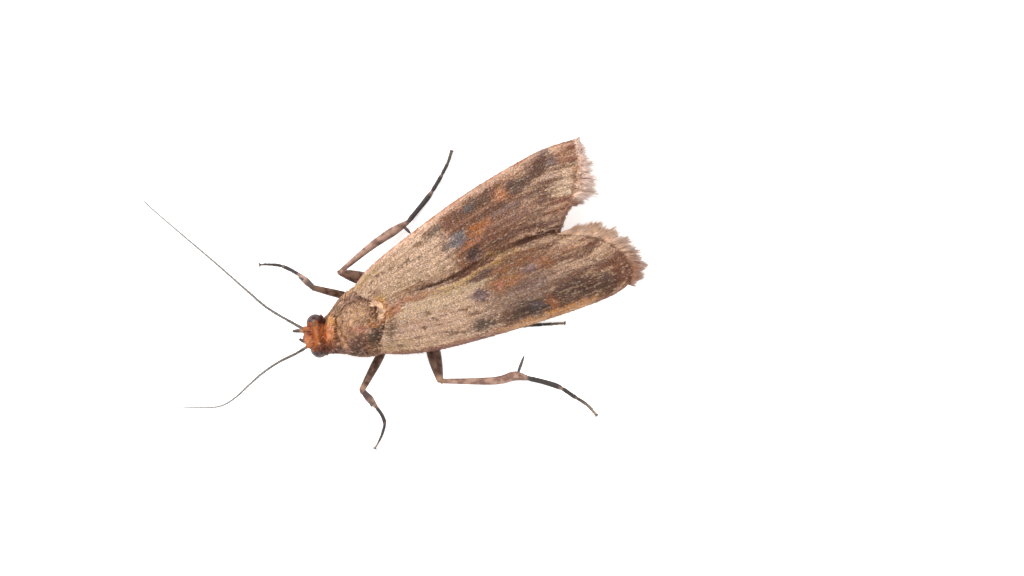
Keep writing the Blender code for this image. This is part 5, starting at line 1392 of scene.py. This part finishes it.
print("coat")


def spreadRoots(chosen, cell, seed):         # about one of the skin's points in each cell of space
    draw = np.random.default_rng(seed)
    index = np.flatnonzero(chosen)
    draw.shuffle(index)
    keys = np.floor(skinPoints[index] / cell + draw.uniform(0, 1, 3)).astype(int)
    kept = np.unique(keys, axis=0, return_index=True)[1]
    return index[kept], draw


def aroundPatch(points, low, high):          # a place on a sleeve laid round the body, for the bake's map
    around = (np.arctan2(points[:, 0] - thorax["middle"], points[:, 2] - 1.3) / (2 * pi) + 0.5)
    return np.column_stack((around * 0.96 + 0.02, (points[:, 1] - low) / (high - low) * 0.94 + 0.03))


headLocal = np.array(headFrame().inverted())
localPoints = (np.c_[skinPoints, np.ones(len(skinPoints))] @ headLocal.T)[:, :3]
eye = {"radius": 0.25, "out": 0.365, "back": 0.03, "up": -0.01}
awayFromEye = np.minimum(
    np.linalg.norm(localPoints - (eye["out"], eye["back"], eye["up"]), axis=1),
    np.linalg.norm(localPoints - (-eye["out"], eye["back"], eye["up"]), axis=1))
isHead = (localPoints[:, 1] < 0.20) & (skinPoints[:, 1] < -1.9) & (skinLimb < 0)
coats = {
    "thorax": {"cell": 0.046, "length": 0.15, "halfWidth": 0.036, "lift": (0.005, 0.032), "seed": 101},
    "abdomen": {"cell": 0.062, "length": 0.18, "halfWidth": 0.046, "lift": (0.01, 0.04), "seed": 102},
    "head": {"cell": 0.029, "length": 0.12, "halfWidth": 0.019, "lift": (0.010, 0.036), "seed": 103},
    "legs": {"cell": 0.034, "length": 0.075, "halfWidth": 0.016, "lift": (0.001, 0.009), "seed": 104},
    "palps": {"cell": 0.026, "length": 0.060, "halfWidth": 0.014, "lift": (0.002, 0.010), "seed": 105},
}


def bodyCoat(name, chosen, way, shape="shingle", lengthen=None):
    style = coats[name]
    index, draw = spreadRoots(chosen, style["cell"], style["seed"])
    roots, normals = skinPoints[index], skinNormals[index]
    along = onSurface(way[index], normals)
    along = turned(along, normals, draw.normal(0, 0.16, len(index)))
    count = len(index)
    size = draw.uniform(0.8, 1.2, count)
    if lengthen is not None:
        size = size * lengthen[index]
    look = {
        "length": style["length"] * size, "halfWidth": style["halfWidth"] * draw.uniform(0.8, 1.2, count),
        "sunk": np.full(count, -0.012), "lift": draw.uniform(*style["lift"], count) * size,
        "curl": draw.uniform(-0.01, 0.01, count),
        "place": roots + along * (0.65 * style["length"] * size)[:, None],
        "tone": draw.uniform(0, 1, count), "limb": skinLimb[index],
        "patch": aroundPatch(roots, roots[:, 1].min(), roots[:, 1].max()),
    }
    return growVanes(shape, roots, along, normals, look)


rearward = np.tile((0.0, 1.0, 0.0), (len(skinPoints), 1))
fan = rearward + np.column_stack((0.30 * (skinPoints[:, 0] - thorax["middle"]), np.zeros(len(skinPoints)),
                                  np.zeros(len(skinPoints))))
onCore = (skinLimb < 0) & ~isHead
inThorax = onCore & (skinPoints[:, 1] < 0.15)
inAbdomen = onCore & ~inThorax
tegulaPull = ease(np.abs(skinPoints[:, 0] - thorax["middle"]), 0.45, 0.75) * ease(skinPoints[:, 2], 1.5, 1.8)
scutumPull = ease(skinPoints[:, 1], -0.75, -0.45) * ease(skinPoints[:, 2], 1.5, 1.9)
thoraxLength = 1 + 0.5 * tegulaPull + 0.5 * scutumPull
makePiece("thorax_scales", bodyCoat("thorax", inThorax, fan, "shingle", thoraxLength), coatMaterial)
makePiece("abdomen_scales", bodyCoat("abdomen", inAbdomen, rearward), coatMaterial)

front = localPoints[:, 1]
headWay = np.column_stack((localPoints[:, 0] * 2.2, np.where(front < -0.02, -1.0, 0.9),
                           np.full(len(front), 0.1)))
lower = ease(-localPoints[:, 2], 0.05, 0.2)[:, None]
headWay = headWay * (1 - lower) + np.array((0.0, -0.5, -1.0)) * lower
headWay = headWay @ np.array(headFrame().to_3x3()).T
headTop = isHead & (awayFromEye > eye["radius"] + 0.004)
nearEye = 1 - ease(awayFromEye, eye["radius"], eye["radius"] + 0.12)
overEye = 1 + 0.8 * nearEye * ease(localPoints[:, 2], -0.1, 0.1)
makePiece("head_scales", bodyCoat("head", headTop, headWay, "lance", overEye), coatMaterial)

limbWay = guide["ways"][nearIndex]
onLegs = (skinLimb >= 0) & (skinLimb < 3.5) & (skinPoints[:, 2] > 0.02)
makePiece("leg_scales", bodyCoat("legs", onLegs, limbWay, "shingle"), coatMaterial)
makePiece("palp_scales", bodyCoat("palps", skinLimb > 3.5, limbWay, "lance"), coatMaterial)


# The collar's sides: scales that bridge head, collar and shoulder, with their tips on one outline

collar = {
    "left": ((0.50, -2.44), (0.57, -2.27), (0.66, -2.05), (0.80, -1.79), (1.00, -1.48), (1.12, -1.20),
             (1.14, -1.00)),
    "right": ((-0.42, -2.20), (-0.47, -2.03), (-0.55, -1.86), (-0.63, -1.70), (-0.74, -1.54), (-0.90, -1.24)),
    "count": 680, "length": 0.19, "halfWidth": 0.026, "inset": 0.26, "low": 1.05,
    "rise": (0.55, 0.42), "seed": 111,
}


def collarPart(name, side):
    draw = np.random.default_rng(collar["seed"] + side)
    count = collar["count"]
    share, height = draw.uniform(0, 1, count), draw.uniform(0, 1, count)
    edge = curveAt(collar[name], share)
    rearwards = unit(curveAt(collar[name], share + 0.02) - curveAt(collar[name], share - 0.02))
    start, gain = collar["rise"]
    tip = np.column_stack((edge[:, 0] - side * (0.02 + collar["inset"] * height ** 2), edge[:, 1],
                           collar["low"] + height * (start + gain * share)))
    along = np.column_stack((rearwards[:, 0] + side * 0.25 * (1 - height), rearwards[:, 1], 0.12 * height))
    up = unit(np.column_stack((side * (1 - 0.6 * height), np.full(count, -0.1), 0.25 + 0.9 * height)))
    along = turned(onSurface(along, up), up, draw.normal(0, 0.16, count))
    size = draw.uniform(0.75, 1.15, count)
    look = {
        "length": collar["length"] * size, "halfWidth": collar["halfWidth"] * draw.uniform(0.8, 1.2, count),
        "sunk": np.full(count, -0.02), "lift": draw.uniform(0.0, 0.03, count),
        "curl": draw.uniform(-0.03, 0.0, count),
        "place": tip, "tone": draw.uniform(0, 1, count),
        "patch": np.column_stack((share, height)) * 0.9 + 0.05,
    }
    return growVanes("shingle", tip - along * look["length"][:, None], along, up, look)


# A raised, curved lock behind the middle of the back: cream inside, orange along its outer rim

backLock = {
    "arc": ((0.19, -0.71), (0.12, -0.60), (0.03, -0.54), (-0.07, -0.52), (-0.19, -0.57), (-0.26, -0.72)),
    "cream": (0.0, -0.55, 2.1), "orange": (0.13, -0.36, 2.1), "count": 260, "width": 0.17, "above": 0.05,
    "bulge": 0.07, "length": 0.17, "halfWidth": 0.022, "seed": 121,
}


def backLockPart():
    draw = np.random.default_rng(backLock["seed"])
    count = backLock["count"]
    share, across = draw.uniform(0, 0.9, count), draw.uniform(-0.35, 1, count)
    flat = curveAt(backLock["arc"], share)
    tangent = unit(curveAt(backLock["arc"], share + 0.02) - curveAt(backLock["arc"], share - 0.02))
    outward = np.column_stack((tangent[:, 1], -tangent[:, 0]))
    flat = flat + outward * (across * backLock["width"])[:, None]
    upper = skinPoints[(skinNormals[:, 2] > 0.3) & (skinLimb < 0)]
    near = ((upper[None, :, :2] - flat[:, None]) ** 2).sum(-1).argmin(1)
    raised = backLock["above"] + backLock["bulge"] * np.clip(1 - (across / 0.7) ** 2, 0, 1)
    root = np.column_stack((flat, upper[near, 2] + raised))
    up = unit(np.column_stack((outward * (across * 0.7)[:, None], np.ones(count))))
    along = np.column_stack((tangent + outward * 0.25, np.zeros(count)))
    along = turned(onSurface(along, up), up, draw.normal(0, 0.14, count))
    rim = across > 0.36
    size = draw.uniform(0.75, 1.1, count)
    look = {
        "length": backLock["length"] * size, "halfWidth": np.full(count, backLock["halfWidth"]),
        "sunk": np.full(count, -0.01), "lift": draw.uniform(0.0, 0.03, count),
        "curl": draw.uniform(-0.05, -0.01, count),
        "place": np.where(rim[:, None], backLock["orange"], backLock["cream"]),
        "tone": draw.uniform(0, 1, count),
        "patch": np.column_stack((share, across * 0.5 + 0.4)) * 0.9 + 0.05,
    }
    return growVanes("lance", root, along, up, look)


for name, side in (("left", 1), ("right", -1)):
    makePiece("collar_scales_" + name, collarPart(name, side), coatMaterial)
makePiece("back_lock", backLockPart(), coatMaterial)

print("eyes")


def eyePart(side):
    bm = bmesh.new()
    bmesh.ops.create_icosphere(bm, subdivisions=5, radius=1.0)
    coarse = bmesh.new()
    bmesh.ops.create_icosphere(coarse, subdivisions=4, radius=1.0)
    tree = pointTree([vert.co for vert in coarse.verts])
    for vert in bm.verts:
        away = tree.find(vert.co)[2]
        vert.co = vert.co * (1 + 0.02 * max(0.0, 1 - away / 0.09))
    part = meshPart(bm)
    bm.free()
    coarse.free()
    part["points"] = part["points"] * eye["radius"] + (side * eye["out"], eye["back"], eye["up"])
    return placed(part, headFrame())


lashes = {"count": 620, "length": 0.19, "halfWidth": 0.016, "seed": 90}


def lashPart(side):              # scales that lie over the inner and rear rim of an eye
    draw = np.random.default_rng(lashes["seed"] + side)
    count = lashes["count"]
    around = draw.uniform(0, 1, count) ** 0.8
    inward = draw.uniform(0.0, 1.0, count)
    normal = unit(np.column_stack((-0.52 + 0.95 * around ** 2 - 0.30 * inward, -0.75 + 1.75 * around,
                                   0.86 - 0.55 * around ** 2 - 0.05 * inward)))
    root = (eye["out"], eye["back"], eye["up"]) + normal * (eye["radius"] + 0.004)
    along = np.column_stack((np.full(count, 1.0), 0.15 + 0.2 * around, -0.25 * around))
    along = turned(onSurface(along, normal), normal, draw.normal(0, 0.22, count))
    size = draw.uniform(0.65, 1.1, count)
    look = {
        "length": lashes["length"] * size, "halfWidth": np.full(count, lashes["halfWidth"]),
        "sunk": np.full(count, -0.006), "lift": draw.uniform(0.0, 0.02, count),
        "curl": np.full(count, -0.030), "place": root, "tone": draw.uniform(0, 1, count),
        "patch": np.column_stack((around * 0.9 + 0.05, inward * 0.9 + 0.05)),
    }
    mirror = (side, 1, 1)
    part = placed(growVanes("lance", root * mirror, along * mirror, normal * mirror, look), headFrame())
    part["place"] = part["points"]
    return part


for name, side in (("left", 1), ("right", -1)):
    makePiece("eye_lens_" + name, eyePart(side), eyeSkin, ["eye_" + name])
    makePiece("eye_scales_" + name, lashPart(side), coatMaterial)

print("antennae")


def antennaParts(name):          # the jointed stalk, and the small scales that sleeve each joint
    joints = antenna["joints"]
    share = np.linspace(0, 1, joints * 6 + 1)
    path = curveAt(antenna[name], share)
    radii = antenna["radius"] + (antenna["tip"] - antenna["radius"]) * share ** 1.1
    joint = (share * joints) % 1.0
    radii = radii * (1 + 0.14 * ease(joint, 0.2, 0.75) - 0.16 * ease(joint, 0.84, 0.99))
    stalk = tubePart(path, radii, 12)
    stalk["limb"] = np.append(np.repeat(share, 12), (0.0, 1.0))
    draw = np.random.default_rng(80 + len(antenna[name]))
    ways = unit(np.gradient(path, axis=0))
    across = unit(np.cross(ways, (0.0, 0.0, 1.0)))
    third = np.cross(ways, across)
    row = np.repeat(np.arange(1, len(path) - 6, 3), antenna["scalesAround"])
    angle = draw.uniform(0, 2 * pi, len(row))
    normal = across[row] * np.cos(angle)[:, None] + third[row] * np.sin(angle)[:, None]
    size = draw.uniform(0.8, 1.2, len(row)) * (1 - 0.5 * share[row])
    look = {
        "length": antenna["scaleLength"] * size, "halfWidth": antenna["scaleHalfWidth"] * size,
        "sunk": np.full(len(row), -0.003), "lift": draw.uniform(0.004, 0.012, len(row)) * size,
        "curl": np.zeros(len(row)), "place": path[row], "tone": draw.uniform(0, 1, len(row)),
        "limb": share[row],
        "patch": np.column_stack((share[row] * 0.94 + 0.03, angle / (2 * pi) * 0.94 + 0.03)),
    }
    return stalk, growVanes("lance", path[row] + normal * radii[row][:, None], ways[row], normal, look)


for name in ("left", "right"):
    stalk, sleeve = antennaParts(name)
    makePiece("antenna_stalk_" + name, stalk, antennaHorn, ["antenna_" + name])
    makePiece("antenna_scales_" + name, sleeve, antennaHorn)

print("claws and spurs")

# girth from root to tip
spikes = {"claw": (1.0, 0.80, 0.50, 0.08), "spur": (0.60, 0.92, 1.0, 0.96, 0.70, 0.12)}


def spikePart(kind, root, tip, radius, bend):
    root, tip = np.asarray(root, float), np.asarray(tip, float)
    middle = (root + tip) / 2 + bend
    share = np.linspace(0, 1, 12)
    return tubePart(curveAt((root, middle, tip), share), radius * widths(spikes[kind], share), 8)


clawParts = []
spurParts = []
for name, plan in legs.items():
    sections = legSections(plan)
    path = sections[3][0]
    forward = unit(path[-1] - path[-3])
    across = np.array((-forward[1], forward[0], 0.0))
    for side in (-1, 1):
        root = path[-1] + across * side * 0.015
        tip = root + forward * legSizes["clawLength"] + across * side * 0.03
        tip[2] = 0.004
        clawParts.append(spikePart("claw", root, tip, 0.014, np.array((0, 0, 0.03)) + across * side * 0.02))
    shin = sections[2][0]
    for share, reach in plan["spurs"]:
        root = shin[int(share * (len(shin) - 1))]
        tip = root + (reach[0], reach[1], -0.04)
        spurParts.append(spikePart("spur", root, tip, legSizes["spurRadius"], (0, 0, 0.02)))
makePiece("claws", joinParts(clawParts), hornDark)
makePiece("spurs", joinParts(spurParts), spurHorn)

print("floor, light and camera")

stage = {"floorSize": 3000.0, "floorShade": (246, 246, 246), "floorSpeck": (238, 238, 238), "floorGlow": 0.64,
         "skyStrength": 0.72, "keyPower": 0.52, "keySize": 120.0, "keyPlace": (-110.0, -40.0, 190.0),
         "fillPower": 0.15, "fillPlace": (150.0, 120.0, 120.0)}


def makeFloor():
    bm = bmesh.new()
    bmesh.ops.create_grid(bm, x_segments=8, y_segments=8, size=stage["floorSize"] / 2 * mm)
    mesh = bpy.data.meshes.new("floor")
    bm.to_mesh(mesh)
    bm.free()
    floor = bpy.data.objects.new("floor", mesh)
    bpy.context.scene.collection.objects.link(floor)
    material = bpy.data.materials.new("floor card")
    material.use_nodes = True
    tree = material.node_tree
    shader = tree.nodes["Principled BSDF"]
    where = addNode(tree, "ShaderNodeTexCoord").outputs["Object"]
    grain = noiseNode(tree, where, 1.2 / mm, 3.0)
    shade = mixColour(tree, grain, tint(*stage["floorShade"]), tint(*stage["floorSpeck"]))
    tree.links.new(shade, shader.inputs["Base Color"])
    tree.links.new(shade, shader.inputs["Emission Color"])
    shader.inputs["Emission Strength"].default_value = stage["floorGlow"]
    shader.inputs["Roughness"].default_value = 0.9
    mesh.materials.append(material)


def makeLight(name, place, size, power):
    light = bpy.data.lights.new(name, "AREA")
    light.shape = "DISK"
    light.size = size * mm
    light.energy = power
    lamp = bpy.data.objects.new(name, light)
    lamp.location = Vector(place) * mm
    lamp.rotation_euler = (-Vector(place)).to_track_quat("-Z", "Y").to_euler()
    lamp.visible_camera = False
    bpy.context.scene.collection.objects.link(lamp)


def makeWorld():
    world = bpy.data.worlds.new("studio")
    bpy.context.scene.world = world
    world.use_nodes = True
    background = world.node_tree.nodes["Background"]
    background.inputs["Color"].default_value = (1, 1, 1, 1)
    background.inputs["Strength"].default_value = stage["skyStrength"]


view = {"over": (0.84, 3.07), "height": 176.6, "turn": 67.0, "lens": 220.0}


def makeCamera():
    data = bpy.data.cameras.new("view from above")
    data.lens = view["lens"]
    data.sensor_width = 36.0
    data.clip_start = 0.001
    data.clip_end = 10.0
    camera = bpy.data.objects.new("view from above", data)
    camera.location = Vector((*view["over"], view["height"])) * mm
    camera.rotation_euler = (0.0, 0.0, radians(view["turn"]))
    bpy.context.scene.collection.objects.link(camera)
    bpy.context.scene.camera = camera


makeFloor()
makeWorld()
makeLight("key", stage["keyPlace"], stage["keySize"], stage["keyPower"])
makeLight("fill", stage["fillPlace"], stage["keySize"], stage["fillPower"])
makeCamera()
bpy.context.scene.view_settings.view_transform = "Standard"
